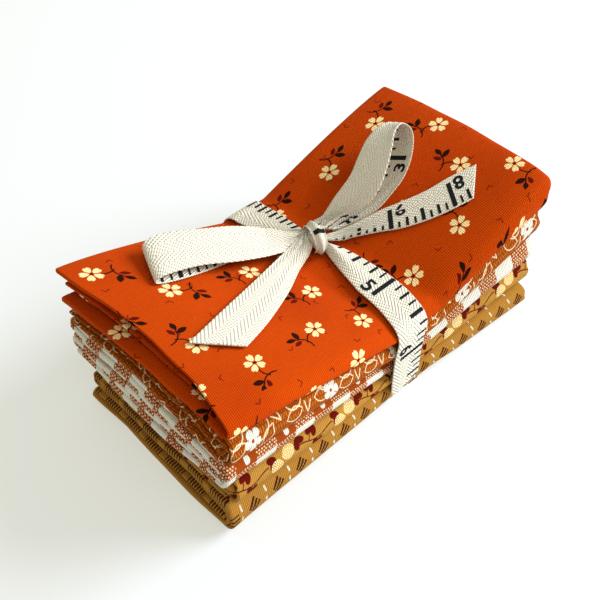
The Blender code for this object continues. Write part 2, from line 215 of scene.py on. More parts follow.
RIGHT_LOOP = [
    Rung(10.1, 7.3, 4.8, 10.7, 12.3, 4.6),
    Rung(15.6, 5.7, 7.2, 13.4, 11.4, 5.6),
    Rung(20.7, 0.2, 10.6, 19.0, 11.7, 7.8),
    Rung(25.1, -0.8, 13.4, 25.4, 11.8, 9.8),
    Rung(31.0, 1.6, 15.0, 31.0, 13.8, 11.0),
    Rung(36.2, 4.8, 15.8, 36.6, 15.8, 11.4),
    Rung(40.2, 7.6, 15.8, 42.9, 16.8, 10.4),
    Rung(44.3, 8.8, 15.0, 48.0, 16.6, 8.0),
    Rung(46.3, 6.7, 13.2, 49.5, 15.4, 5.4),
    Rung(45.4, 4.1, 11.0, 47.5, 13.9, 3.2),
    Rung(41.7, 1.2, 8.4, 42.7, 11.3, 1.4),
    Rung(37.1, -0.4, 6.2, 36.7, 9.0, 0.9),
    Rung(31.9, -0.4, 4.4, 29.7, 7.4, 0.8),
    Rung(26.4, 0.4, 2.8, 22.7, 8.3, 0.9),
    Rung(19.4, 4.0, 2.0, 17.2, 9.4, 1.6),
    Rung(14.2, 6.8, 2.4, 11.8, 8.4, 3.2),
]
RIGHT_TAIL = [
    Rung(8.2, 6.9, 1.8, 9.5, 7.5, 2.6),
    Rung(12.8, 3.5, 0.9, 15.3, 6.0, 1.6),
    Rung(16.6, 1.0, 0.8, 19.8, 3.9, 1.2),
    Rung(22.8, -4.6, 0.8, 27.5, 0.7, 1.0),
    Rung(28.0, -9.8, 0.9, 33.6, -2.8, 0.9),
    Rung(35.4, -15.0, 0.9, 41.1, -6.7, 0.9),
    Rung(43.3, -19.0, 0.9, 49.1, -9.5, 0.9),
    Rung(51.4, -22.2, 0.9, 56.8, -13.0, 0.9),
]
FRONT_TAIL = [
    Rung(4.9, 10.0, 4.6, 3.9, 10.9, 5.2),
    Rung(3.3, 5.5, 4.2, -0.2, 9.1, 5.4),
    Rung(0.8, 3.9, 2.8, -3.7, 8.8, 4.6),
    Rung(-5.0, 1.9, 1.4, -11.3, 7.2, 2.4),
    Rung(-15.9, -4.7, 1.0, -22.2, 3.8, 1.2),
    Rung(-29.2, -11.3, 0.9, -35.0, -0.4, 0.9),
    Rung(-39.9, -15.4, 0.9, -45.8, -4.0, 0.9),
    Rung(-48.3, -18.0, 0.9, -54.0, -6.6, 0.9),
]
# How much shorter the low edge of each tail is cut
RIGHT_CUT = 2.4 * MM
FRONT_CUT = 3.3 * MM
# The band has a ridge near the knot, whose peak is a little to one side. It is narrower in front of the knot,
# and drawn in at the knot by a share of its width. Above the last height here it follows the top cloth
BAND_RIDGE = 2.6 * MM
BAND_RIDGE_REACH = 16 * MM
BAND_PEAK = -0.3
BAND_NARROWED = 2.2 * MM
BAND_NARROWED_AT_MOST = 0.4
BAND_NARROW_REACH = 22 * MM
BAND_DRAWN_IN = 0.78
BAND_DRAWN_REACH = 9 * MM
BAND_ON_TOP = 28 * MM
# Loops and tails are pleated where they are gathered, and most where they have lost this share of their width
PLEAT = 0.6 * MM
FULLY_GATHERED = 0.6
# Place and size of the lump in the knot, in millimetres. The place's height is the one over the top cloth
KNOT_AT = (6.4, 7.0, 3.9)
KNOT_SIZE = (5.6, 7.4, 5.2)
CORE_LOWER = 0.6 * MM
CORE_RIPPLE = 0.05
CORE_ROWS = 25
CORE_COLUMNS = 49
# Where the lump's looks lie in the tape's flat map, in metres along it
CORE_FLAT_START = 0.55
# The last turn over the knot: its heading and its arch in degrees, its half length and its height, its width
# as a share of the tape's with how much that swings, and its pleats
WRAP_HEADING = -112
WRAP_START = -38
WRAP_END = 218
WRAP_ROWS = 60
WRAP_REACH = 4.9 * MM
WRAP_RISE = 3.9 * MM
WRAP_WIDTH = 0.34
WRAP_SWING = 0.04
WRAP_SWING_AT = 0.9 - math.pi / 2
WRAP_PLEAT = 0.35 * MM
WRAP_PLEATS = 1.5
WRAP_RIDGE = 0.5 * MM

# Sizes that only the looks have
TAPE_THICK = 0.6 * MM
ROW_STEP = 0.5 * MM
TAPE_COLUMNS = 14
RUNG_PIECES = 20
PLACE_PIECES = 8
BAND_STEP = 0.4 * MM
TOP_STEPS = 24
CORNER_STEPS = 12
SELVEDGE_PITCH = 0.9 * MM
SELVEDGE_WAVE = 0.012
INK_LIFT = 0.05 * MM
RELIEF_STRENGTH = 0.8
COTTON_RELIEF = 0.12 * MM
TWILL_RELIEF = 0.3 * MM
COTTON_FINISH = {"Roughness": 0.9, "Sheen Weight": 0.01, "Sheen Roughness": 0.5, "Specular IOR Level": 0.03}
TWILL_FINISH = {"Roughness": 0.9, "Sheen Weight": 0.05, "Sheen Roughness": 0.5, "Specular IOR Level": 0.1}
INK_FINISH = {"Roughness": 0.9, "Specular IOR Level": 0.05}
SELVEDGE_COLOUR = (0.74, 0.55, 0.42)

# The photograph's camera
FRAME_PIXELS = 600
FOCAL_PIXELS = 906.7
SENSOR_MM = 36
CAMERA_AZIMUTH = -44.92
CAMERA_ELEVATION = 47.72
CAMERA_ROLL = 1.685
CAMERA_DISTANCE = 303.2 * MM
CAMERA_TARGET = (4.06 * MM, 10.74 * MM, 9.45 * MM)

# The stage. The floor glows a little, so that it is as light as the photograph's all round the bundle
FLOOR_HALF = 2.5
FLOOR_CORNERS = ((-1, -1), (1, -1), (1, 1), (-1, 1))
FLOOR_HEIGHT = -0.2 * MM
FLOOR_GLOW = (0.985, 1.0, 0.85)
FLOOR_GLOW_STRENGTH = 0.475
LAMP_SIZE = 0.8
LAMP_TARGET = (0, 0, 0.02)
KEY_PLACE = (0.98, -0.50, 0.64)
KEY_COLOUR = (0.96, 1.0, 1.05)
FILL_PLACE = (-0.1, -0.8, 1.0)
FILL_COLOUR = (1.0, 1.0, 1.0)
SKY_COLOUR = (1.0, 0.97, 0.78)


# Settings that a user would change


def length_setting(name, description, default):
    return bpy.props.FloatProperty(name=name, description=description, default=default, unit="LENGTH")


def power_setting(name, description, default):
    return bpy.props.FloatProperty(name=name, description=description, default=default, unit="POWER")


def colour_setting(name, description, default):
    return bpy.props.FloatVectorProperty(name=name, description=description, default=default, subtype="COLOR")


class ClothSettings(bpy.types.PropertyGroup):
    """Sizes and colours of the folded cloths."""

    sheet_length: length_setting("Cut length", "Length of one flat fat quarter", 0.533)
    sheet_width: length_setting("Cut width", "Width of one flat fat quarter", 0.457)
    thread_pitch: length_setting("Weave", "Distance between the ribs that the weave shows", 0.00062)
    orange: colour_setting("Orange", "Ground of the top cloth", (0.47, 0.0475, 0.0004))
    red_orange: colour_setting("Deep orange", "Its redder places", (0.36, 0.027, 0.0006))
    rust: colour_setting("Rust", "Ground of the leaf cloth", (0.27, 0.046, 0.003))
    dash: colour_setting("Golden dashes", "Dashes of the leaf cloth", (0.46, 0.17, 0.018))
    brick: colour_setting("Brick", "Dark blocks of the check cloth", (0.30, 0.050, 0.004))
    tan: colour_setting("Tan", "Ground of the vine cloth", (0.40, 0.195, 0.034))
    gold: colour_setting("Gold", "Ground of the stroke cloth", (0.36, 0.165, 0.026))
    cream: colour_setting("Cream", "Flowers and light lines", (0.88, 0.68, 0.33))
    pale: colour_setting("Pale cream", "Thin lines of the leaf cloth", (0.74, 0.62, 0.40))
    white: colour_setting("White", "White blocks and stitches", (0.66, 0.64, 0.56))
    dark: colour_setting("Dark brown", "Stems and leaves", (0.022, 0.0035, 0.0015))
    bar: colour_setting("Bar brown", "Strokes of the lowest cloth", (0.045, 0.0075, 0.003))
    red: colour_setting("Dark red", "Red leaves, vines and ticks", (0.105, 0.0042, 0.002))


class TapeSettings(bpy.types.PropertyGroup):
    """Sizes and colours of the twill tape."""

    width: length_setting("Tape width", "Width of the flat tape", 0.0126)
    rib_pitch: length_setting("Twill", "Distance between the twill's ridges", 0.00115)
    colour: colour_setting("Tape", "Natural cotton of the tape", (0.75, 0.715, 0.61))
    # The hollow colour is painted shade, laid into the twill's hollows between its ridges
    shade: colour_setting("Tape hollows", "Between the twill's ridges", (0.53, 0.47, 0.35))
    ink: colour_setting("Ink", "Printed marks and numbers", (0.012, 0.014, 0.016))


class StageSettings(bpy.types.PropertyGroup):
    """The floor and the light."""

    floor: colour_setting("Floor", "Colour of the floor", (0.37, 0.385, 0.455))
    key_power: power_setting("Key light", "Power of the main lamp", 28.0)
    fill_power: power_setting("Fill light", "Power of the second lamp", 2.8)
    sky: bpy.props.FloatProperty(name="Sky", description="Strength of the light all round", default=0.58)


# Shape of the pile


def blend(a, b, share):
    return a + (b - a) * share


def smooth(share):
    share = np.clip(share, 0.0, 1.0)
    return share * share * (3 - 2 * share)


def wave(seed, x, y, length):
    """Soft unevenness between about -1 and 1, with bumps about as long as length."""
    rng = np.random.default_rng(seed)
    total = 0.0
    for _ in range(5):
        heading = rng.uniform(0, math.tau)
        pitch = length * rng.uniform(0.7, 1.9)
        phase = rng.uniform(0, math.tau)
        total = total + np.sin((x * math.cos(heading) + y * math.sin(heading)) * math.tau / pitch + phase)
    return total / 3.2


def waist_x(y):
    return WAIST_X + WAIST_SLANT * y


def swell(x, y):
    """How far the pile has swollen from its waist to its end, from 0 to 1, and if that is the left end."""
    away = x - waist_x(y)
    is_left = away < 0
    reach = LENGTH / 2 + np.where(is_left, waist_x(y), -waist_x(y))
    share = np.clip((np.abs(away) - WAIST_FLAT) / (reach - WAIST_FLAT), 0, 1)
    return 1 - (1 - share) ** SWELL_POWER, is_left


def level_height(index, x, y):
    """Height of one of the surfaces between the cloths."""
    level = LEVELS[index]
    back = np.clip(y / WIDTH + 0.5, 0, 1)
    waist = blend(level.waist_front, level.waist_back, back) * MM
    if index == 0:
        away = np.abs(x - waist_x(y))
        return waist * (1 - smooth((away - FOOT_RISE[0]) / (FOOT_RISE[1] - FOOT_RISE[0])))
    share, is_left = swell(x, y)
    left = blend(level.left_front, level.left_back, back) * MM
    left = left + LEFT_BOWS[index] * MM * np.sin(back * math.pi)
    right = blend(level.right_front, level.right_back, back) * MM
    inset = np.maximum(np.minimum(y + WIDTH / 2, WIDTH / 2 - y), 0)
    edge = np.clip(1 - inset / EDGE_BAND, 0, 1)
    drop = EDGE_DROP * blend(1, END_DROP_SHARE, share)
    return blend(waist, np.where(is_left, left, right), share) - level.drop * drop * edge**2


def top_height(x, y):
    return level_height(len(LEVELS) - 1, x, y)


def trough_depth(x, y):
    """How deep the soft creases of the top cloth are at a place."""
    total = 0.0
    for t in TROUGHS:
        from_x, from_y = x - t.x0 * MM, y - t.y0 * MM
        run_x, run_y = (t.x1 - t.x0) * MM, (t.y1 - t.y0) * MM
        along = (from_x * run_x + from_y * run_y) / math.hypot(run_x, run_y) ** 2
        beside = np.clip(along, 0, 1)
        off = np.hypot(from_x - beside * run_x, from_y - beside * run_y)
        fade = 1 - TROUGH_FADE * smooth(along)
        total = total + t.depth * MM * fade * np.exp(-((off / (t.width * MM)) ** 2))
    return DEEPEST_TROUGH * (1 - np.exp(-total / DEEPEST_TROUGH))


def hump(across):
    """A rounded hump from the front to the back, highest a little in front of the middle."""
    return np.sin(np.clip(across, 0, 1) ** 0.8 * math.pi)


# The folded sheets


def panel_level(panel):
    return PLY_SHARE / 2 + (panel - 1) * (1 - PLY_SHARE) / (PANELS - 1)


def fold_path(top_rows):
    """The sheet's rows across the bundle, as arrays of y, height, panel and the two parts of the normal.

    Heights are in a pile of even thickness. The path runs from the lowest panel round the front to the top
    one, and then back and forth inside that fold.
    """
    pitch = (1 - PLY_SHARE) / (PANELS - 1) * NOMINAL_THICK
    front = -WIDTH / 2 + PLY_SHARE / 2 * NOMINAL_THICK + 2.5 * pitch
    back = WIDTH / 2 - PLY_SHARE / 2 * NOMINAL_THICK - 0.5 * pitch
    inner_back = back - INNER_TURN_IN
    rows = []

    def run(panel, start, end, pieces):
        for i in range(pieces):
            rows.append((blend(start, end, i / pieces), panel_level(panel) * NOMINAL_THICK, panel))

    def turn(lower, upper, centre, outward, pieces, upwards):
        radius = (panel_level(upper) - panel_level(lower)) / 2 * NOMINAL_THICK
        middle = (panel_level(upper) + panel_level(lower)) / 2 * NOMINAL_THICK
        for i in range(pieces):
            angle = math.pi * i / pieces - math.pi / 2
            rise = math.sin(angle if upwards else -angle)
            rows.append((centre + outward * math.cos(angle) * radius, middle + radius * rise,
                         blend(lower, upper, 0.5 + rise / 2)))

    run(1, back - FREE_EDGE_IN, front, LOWEST_ROWS)
    turn(1, 6, front, -1, OUTER_ROWS - LOWEST_ROWS, True)
    run(6, front, back, top_rows)
    turn(5, 6, back, 1, TURN_ROWS, False)
    run(5, back, front, INNER_ROWS)
    turn(2, 5, front, -1, WIDE_TURN_ROWS, False)
    run(2, front, inner_back, INNER_ROWS)
    turn(2, 3, inner_back, 1, TURN_ROWS, True)
    run(3, inner_back, front, INNER_ROWS)
    turn(3, 4, front, -1, TURN_ROWS, True)
    run(4, front, back - FREE_EDGE_IN, INNER_ROWS)
    rows.append((back - FREE_EDGE_IN, panel_level(4) * NOMINAL_THICK, 4))
    y, height, panel = (np.array(column, float) for column in zip(*rows))
    run_y = np.gradient(y)
    run_z = np.gradient(height)
    length = np.hypot(run_y, run_z)
    return y, height, panel, -run_z / length, run_y / length


def ply_columns(top_pieces, inner_pieces):
    """The sheet's columns along the bundle, in its four plies one way.

    Each has its share of the way from the left fold to the right one, and in half thicknesses of the folded
    strip how far it passes the left fold's centre and the right one's, and its offset across the strip.
    """
    columns = []
    near_end = [0.0, 0.004, 0.009, 0.015, 0.023, 0.034, 0.05]

    def ply(offset, leftwards, pieces):
        middle = list(np.linspace(0.07, 0.93, pieces))
        shares = near_end + middle + [1 - s for s in reversed(near_end)]
        for share in reversed(shares) if leftwards else shares:
            columns.append((share, 0.0, 0.0, offset))

    def fold(start, end, is_left, pieces):
        centre = (start + end) / 2
        radius = abs(end - start) / 2
        for i in range(1, pieces):
            angle = math.pi * i / pieces
            offset = centre + (start - centre) * math.cos(angle)
            out = radius * math.sin(angle)
            columns.append((0.0, out, 0.0, offset) if is_left else (1.0, 0.0, out, offset))

    ply(-1.0, True, inner_pieces)
    fold(-1.0, 1.0, True, WIDE_FOLD_COLUMNS)
    ply(1.0, False, top_pieces)
    fold(1.0, 1 / 3, False, FOLD_COLUMNS)
    ply(1 / 3, True, inner_pieces)
    fold(1 / 3, -1 / 3, True, FOLD_COLUMNS)
    ply(-1 / 3, False, inner_pieces)
    return (np.array(column, float) for column in zip(*columns))


def place(cloth, index, x, y, share):
    """A point of a flat, evenly folded sheet, moved to where the tied pile holds it."""
    held, _ = swell(x, y)
    to_left = -x / (LENGTH / 2)
    front = -cloth.front * MM + FRONT_PULL * (1 - held)
    shortened = np.clip((to_left - SHORT_FRONT_FROM) / (1 - SHORT_FRONT_FROM), 0, 1) ** 1.5
    front = front + cloth.short_front * MM * shortened
    back = cloth.back * MM - BACK_PULL * (1 - held)
    back = back - cloth.short_back * MM * smooth((to_left - SHORT_BACK_FROM) / (1 - SHORT_BACK_FROM))
    across = y / WIDTH + 0.5
    world_y = blend(front, back, across) + math.radians(cloth.turn) * x
    loose = held * np.clip(1 - across * 3, 0, 1)
    world_y = world_y + FRONT_WAVE * loose * wave(60 + index, x, share * 0.01, FRONT_WAVE_LONG)
    bottom = level_height(index, x, world_y) + CLOTH_GAP / 2 * (index > 0)
    top = level_height(index + 1, x, world_y) - CLOTH_GAP / 2
    tip = np.clip(1 - across * WIDTH / PINCH_REACH, 0, 1)
    at_left = smooth(1 - (x + LENGTH / 2) / PLIES_REACH)
    share = blend(share, np.interp(share, np.linspace(0, 1, PANELS + 1), cloth.plies), at_left)
    share = 0.5 + (share - 0.5) * (1 - cloth.pinch * tip * tip)
    height = blend(bottom, top, share)
    if index == TOP_CLOTH:
        crown = RIGHT_CROWN * hump(across) * smooth((x - CROWN_FROM) / CROWN_REACH)
        press = np.where(share > 1 - PLY_SHARE / 4, 1.0, INNER_PRESS)
        share = np.clip(share, 0, 1)
        height = height + crown * share**2 - trough_depth(x, world_y) * share * press
    return x, world_y, height


def end_of(cloth, index, is_left, y, panel, is_outer):
    """Where a panel ends along X. The outermost fold ends straight between the lowest and the top panel."""
    ends = np.array(cloth.ends) * MM
    across = np.clip(y / WIDTH + 0.5, 0, 1)
    if is_left:
        up = (panel - 1) / (PANELS - 1)
        inset = np.interp(panel, range(1, PANELS + 1), ends)
        inset = np.where(is_outer, blend(ends[0], ends[-1], up), inset)
        middle = np.sin(across * math.pi)
        inset = inset + cloth.middle_in * MM * middle * blend(LOWEST_MIDDLE_IN, 1.0, up)
        if index == TOP_CLOTH:
            inset = inset + LEFT_SLANT * (1 - across)
        return -cloth.left * MM + inset + END_WAVE * wave(20 + index, y, panel * 0.013, END_WAVE_LONG)
    inset = np.interp(PANELS + 1 - panel, range(1, PANELS + 1), ends) * RIGHT_INSET_SHARE
    end = cloth.right * MM - inset + RIGHT_WAVE * wave(40 + index, y, panel * 0.011, RIGHT_WAVE_LONG)
    if index == TOP_CLOTH:
        near_front = np.clip(1 - across * WIDTH / CORNER_REACH, 0, 1)
        end = end + RIGHT_BULGE * hump(across) - CORNER_IN * near_front**2 * (PANELS - panel) / PANELS
    return end


def folded_sheet(name, cut_length, cut_width, top_rows, top_pieces, inner_pieces):
    """One fat quarter as a thin sheet in its folds.

    Its flat map holds where each point lies on the flat cloth.
    """
    cloth = CLOTHS[name]
    index = CLOTH_ORDER.index(name)
    row_y, row_z, panel, normal_y, normal_z = fold_path(top_rows)
    share, out_left, out_right, offset = ply_columns(top_pieces, inner_pieces)
    half = PLY_SHARE / 2 * NOMINAL_THICK

    is_outer = np.arange(len(row_y)) < OUTER_ROWS
    left = end_of(cloth, index, True, row_y, panel, is_outer)[:, None]
    right = end_of(cloth, index, False, row_y, panel, is_outer)[:, None]
    swollen = half * (1 + cloth.puff)
    from_left = left + swollen
    to_right = right - half / 3
    x = blend(from_left, to_right, share[None, :]) - out_left * swollen + out_right * half
    is_raw_edge = (offset < 0) & (share > 0.9)
    uneven = RAW_EDGE_WAVE * wave(80 + index, row_y[:, None], offset * 0.02, RAW_EDGE_WAVE_LONG)
    x = x - is_raw_edge * (RAW_EDGE_IN + uneven) * share**8
    at_left = smooth(1 - (x - left) / PUFF_REACH)
    uneven = PUFF_WAVE * wave(90 + index, row_y[:, None], panel[:, None] * 0.02, PUFF_WAVE_LONG)
    puff = (1 + cloth.puff * at_left) * (1 + uneven * at_left)
    across = offset[None, :] * half * puff
    y = row_y[:, None] + across * normal_y[:, None]
    z = row_z[:, None] + across * normal_z[:, None]
    points = np.stack(place(cloth, index, x, y, z / NOMINAL_THICK), axis=2)
    points[:, :, 2] = np.maximum(points[:, :, 2], 0.0)

    middle = len(row_y) // 4
    along = gone_by(np.stack((x[middle], across[0]), axis=1))
    up = gone_by(np.stack((row_y, row_z), axis=1))
    flat = np.stack(np.meshgrid(along / along[-1] * cut_length, up / up[-1] * cut_width), axis=2)
    rows, columns = x.shape
    bake = np.stack(np.meshgrid(np.linspace(0, 1, columns), np.linspace(0, 1, rows)), axis=2)
    return grid_object(name + "_sheet", points, {"flat": flat, "OFBake": bake})


def gone_by(points):
    """How far along a line each of its points is."""
    return np.concatenate(([0], np.cumsum(np.linalg.norm(np.diff(points, axis=0), axis=1))))


def grid_faces(rows, columns):
    """The four-sided faces of a grid of points."""
    corner = (np.arange(rows - 1)[:, None] * columns + np.arange(columns - 1)).ravel()
    return np.stack((corner, corner + 1, corner + columns + 1, corner + columns), axis=1).tolist()


def grid_object(name, points, maps):
    """A mesh object from a grid of points, with UV maps from grids of the same size."""
    flat_maps = {map_name: places.reshape(-1, 2) for map_name, places in maps.items()}
    return mesh_object(name, points.reshape(-1, 3), grid_faces(*points.shape[:2]), flat_maps)


def linked(name, data):
    """A new object that holds the data, in the scene."""
    obj = bpy.data.objects.new(name, data)
    bpy.context.scene.collection.objects.link(obj)
    return obj


def mesh_object(name, points, faces, maps):
    """A smooth-shaded mesh object, with UV maps that hold a place for each point."""
    mesh = bpy.data.meshes.new(name)
    mesh.from_pydata(points.tolist(), [], faces)
    corners = np.empty(len(mesh.loops), np.int32)
    mesh.loops.foreach_get("vertex_index", corners)
    for map_name, places in maps.items():
        layer = mesh.uv_layers.new(name=map_name)
        layer.uv.foreach_set("vector", places[corners].astype(np.float32).ravel())
    mesh.shade_smooth()
    return linked(name, mesh)


# The tape


class Ribbon:
    """A stretch of tape between two edge lines, which can be read at any place along and across it."""

    def __init__(self, low, high, up, pleat=None, ridge=None, pleats=2.5, peak=0.0, cut=0.0):
        low, high, up = (np.asarray(v, float) for v in (low, high, up))
        self.middle = (low + high) / 2
        self.across = (high - low) / 2
        self.up = up / np.linalg.norm(up, axis=1)[:, None]
        self.at = gone_by(self.middle)
        self.length = self.at[-1]
        self.pleat = np.zeros(len(low)) if pleat is None else pleat
        self.ridge = np.zeros(len(low)) if ridge is None else ridge
        self.pleats = pleats
        self.peak = peak
        self.cut = cut

    def end_at(self, across):
        """How long the tape is at a place across it."""
        return self.length - self.cut * (1 - across)

    def read(self, values, along):
        if values.ndim == 1:
            return np.interp(along, self.at, values)
        return np.stack([np.interp(along, self.at, values[:, i]) for i in range(3)], axis=-1)

    def point(self, along, across, out):
        """Places at a distance along the tape, a share across it from -1 to 1 and a distance out of it."""
        along, across, out = np.broadcast_arrays(along, across, out)
        fold = self.read(self.pleat, along) * np.cos(across * math.pi * self.pleats)
        off = across - self.peak
        crown = self.read(self.ridge, along) * (1 - np.abs(off) / (1 + np.sign(off) * -self.peak))
        sideways = self.read(self.across, along) * across[..., None]
        rise = self.read(self.up, along) * (out + fold + crown)[..., None]
        return self.read(self.middle, along) + sideways + rise


def curve_through(rows, pieces):
    """Evenly stepped rows on a smooth curve through the given rows of numbers."""
    rows = np.asarray(rows, float)
    last = len(rows) - 1
    out = []
    for i in range(last):
        around = np.stack([rows[max(0, i - 1)], rows[i], rows[i + 1], rows[min(last, i + 2)]])
        for t in np.arange(pieces) / pieces:
            before = -t + 2 * t**2 - t**3
            start = 2 - 5 * t**2 + 3 * t**3
            end = t + 4 * t**2 - 3 * t**3
            after = t**3 - t**2
            out.append(np.array([before, start, end, after]) / 2 @ around)
    out.append(rows[last])
    return np.array(out)


def free_part(rungs, tape_width, cut):
    """A loop or a tail of the tape, gathered where it enters the knot. Its low edge is cut shorter by cut."""
    table = curve_through([[v * MM for v in rung] for rung in rungs], RUNG_PIECES)
    low_x, low_y, low_lift, high_x, high_y, high_lift = table.T
    low = np.stack((low_x, low_y, top_height(low_x, low_y) + low_lift), axis=1)
    high = np.stack((high_x, high_y, top_height(high_x, high_y) + high_lift), axis=1)
    along = np.gradient((low + high) / 2, axis=0)
    up = np.cross(along, high - low)
    width = np.linalg.norm(high - low, axis=1)
    gather = np.clip((1 - width / tape_width) / FULLY_GATHERED, 0, 1)
    return Ribbon(low, high, up, pleat=PLEAT * gather**1.3, cut=cut)


def band_route():
    """The tape's way round the waist in the plane across the bundle, from the knot forwards, as y and z."""
    off = TAPE_GAP + SOLID_TAPE / 2
    foot = SOLID_TAPE / 2
    front = -max(c.front for c in CLOTHS.values()) * MM + FRONT_PULL - off
    back = max(c.back for c in CLOTHS.values()) * MM - BACK_PULL + off
    low_front = front + FRONT_FOOT_IN
    low_back = back - BACK_FOOT_IN
    knot_y = KNOT_AT[1] * MM
    route = []

    def over_top(start, end):
        for y in np.linspace(start, end, TOP_STEPS):
            route.append((y, top_height(waist_x(y), y) + off))

    def corner(y, z, radius, start):
        for angle in np.radians(np.linspace(start, start + 90, CORNER_STEPS)):
            route.append((y + radius * math.cos(angle), z + radius * math.sin(angle)))

    over_top(knot_y, front + TOP_CORNER)
    corner(front + TOP_CORNER, LEVELS[-1].waist_front * MM + off - TOP_CORNER, TOP_CORNER, 90)
    route.append((blend(low_front, front, MID_OUT), MID_HEIGHT))
    corner(low_front + FOOT_CORNER, foot + FOOT_CORNER, FOOT_CORNER, 180)
    corner(low_back - FOOT_CORNER, foot + FOOT_CORNER, FOOT_CORNER, 270)
    route.append((blend(low_back, back, MID_OUT), MID_HEIGHT))
    corner(back - TOP_CORNER, LEVELS[-1].waist_back * MM + off - TOP_CORNER, TOP_CORNER, 0)
    over_top(back - TOP_CORNER, knot_y)
    return np.array(route)


def even_steps(points, step):
    """The same line with points an even distance apart, slightly eased."""
    gone = gone_by(points)
    at = np.linspace(0, gone[-1], int(gone[-1] / step) + 1)
    line = np.stack([np.interp(at, gone, points[:, i]) for i in range(points.shape[1])], axis=1)
    for _ in range(6):
        line[1:-1] = (line[:-2] + 2 * line[1:-1] + line[2:]) / 4
    return line


BandPlace = namedtuple("BandPlace", "share x")
# The middle of the band along X, in millimetres, at shares of its way from the knot forwards and round
BAND_PLACES = [
    BandPlace(0.0, 7.6),
    BandPlace(0.06, 8.0),
    BandPlace(0.14, 8.0),
    BandPlace(0.20, 5.7),
    BandPlace(0.26, 4.8),
    BandPlace(0.34, 6.6),
    BandPlace(0.42, 9.0),
    BandPlace(0.60, 5.0),
    BandPlace(0.76, 0.2),
    BandPlace(0.84, 0.0),
    BandPlace(0.92, 2.2),
    BandPlace(1.0, 5.6),
]


def band_part(tape_width):
    """The turn of tape round the waist, drawn together where it meets the knot."""
    line = even_steps(band_route(), BAND_STEP)
    y, z = line.T
    gone = gone_by(line)
    share = gone / gone[-1]
    places = curve_through(BAND_PLACES, PLACE_PIECES)
    x = np.interp(share, places[:, 0], places[:, 1]) * MM
    from_knot = np.minimum(gone, gone[-1] - gone)
    width = tape_width * (1 - BAND_DRAWN_IN * np.exp(-from_knot / BAND_DRAWN_REACH))
    z = z + (top_height(x, y) - top_height(waist_x(y), y)) * (z > BAND_ON_TOP)
    is_front = share < 0.5
    narrowed = BAND_NARROWED * np.clip(1 - (from_knot / BAND_NARROW_REACH) ** 2, 0, 1) * is_front
    width = width - np.minimum(narrowed, width * BAND_NARROWED_AT_MOST)
    x = x + np.minimum(narrowed, width * BAND_NARROWED_AT_MOST) / 2
    middle = np.stack((x, y, z), axis=1)
    reach = np.stack((width / 2, np.zeros_like(y), np.zeros_like(y)), axis=1)
    up = upwards(np.cross(reach, np.gradient(middle, axis=0)), 0)
    ridge = BAND_RIDGE * np.exp(-((from_knot / BAND_RIDGE_REACH) ** 2))
    return Ribbon(middle - reach, middle + reach, up, ridge=ridge, peak=BAND_PEAK)


def upwards(normals, row):
    """The same normals, or all of them turned round if the one in this row points down."""
    return -normals if normals[row][2] < 0 else normals


def knot_wrap(tape_width):
    """The tape's last turn over the knot, as a narrow arch from its back to its front."""
    x0, y0, lift = (v * MM for v in KNOT_AT)
    heading = math.radians(WRAP_HEADING)
    run = np.array([math.cos(heading), math.sin(heading), 0])
    side = np.array([-run[1], run[0], 0])
    angle = np.radians(np.linspace(WRAP_START, WRAP_END, WRAP_ROWS))
    middle = np.array([x0, y0, top_height(x0, y0) + lift]) + np.outer(-np.cos(angle) * WRAP_REACH, run)
    middle[:, 2] += np.sin(angle) * WRAP_RISE
    width = tape_width * (WRAP_WIDTH + WRAP_SWING * np.cos(angle + WRAP_SWING_AT))
    reach = side[None, :] * (width / 2)[:, None]
    up = upwards(np.cross(np.gradient(middle, axis=0), reach), WRAP_ROWS // 2)
    pleat = np.full(WRAP_ROWS, WRAP_PLEAT)
    ridge = np.full(WRAP_ROWS, WRAP_RIDGE)
    return Ribbon(middle - reach, middle + reach, up, pleat=pleat, ridge=ridge, pleats=WRAP_PLEATS)


def tape_parts(tape_width):
    """Every stretch of the tape by name."""
    return {
        "band": band_part(tape_width),
        "left_loop": free_part(LEFT_LOOP, tape_width, 0.0),
        "right_loop": free_part(RIGHT_LOOP, tape_width, 0.0),
        "right_tail": free_part(RIGHT_TAIL, tape_width, RIGHT_CUT),
        "front_tail": free_part(FRONT_TAIL, tape_width, FRONT_CUT),
        "knot": knot_wrap(tape_width),
    }


def ribbon_skin(ribbon):
    """Points of the closed skin of one stretch of tape, and how far along and across it each lies."""
    rows = max(12, int(ribbon.length / ROW_STEP))
    turn = np.linspace(0, math.tau, 2 * TAPE_COLUMNS + 1)[:-1][None, :]
    across = np.cos(turn)
    out = np.sin(turn)
    across = np.sign(across) * np.abs(across) ** 0.8
    along = np.linspace(0, 1, rows)[:, None] * ribbon.end_at(across)
    out = np.sign(out) * np.abs(out) ** 0.45 * TAPE_THICK / 2
    selvedge = 1 + SELVEDGE_WAVE * np.sin(along / SELVEDGE_PITCH * math.tau) * np.abs(across) ** 6
    return ribbon.point(along, across * selvedge, out), along, across


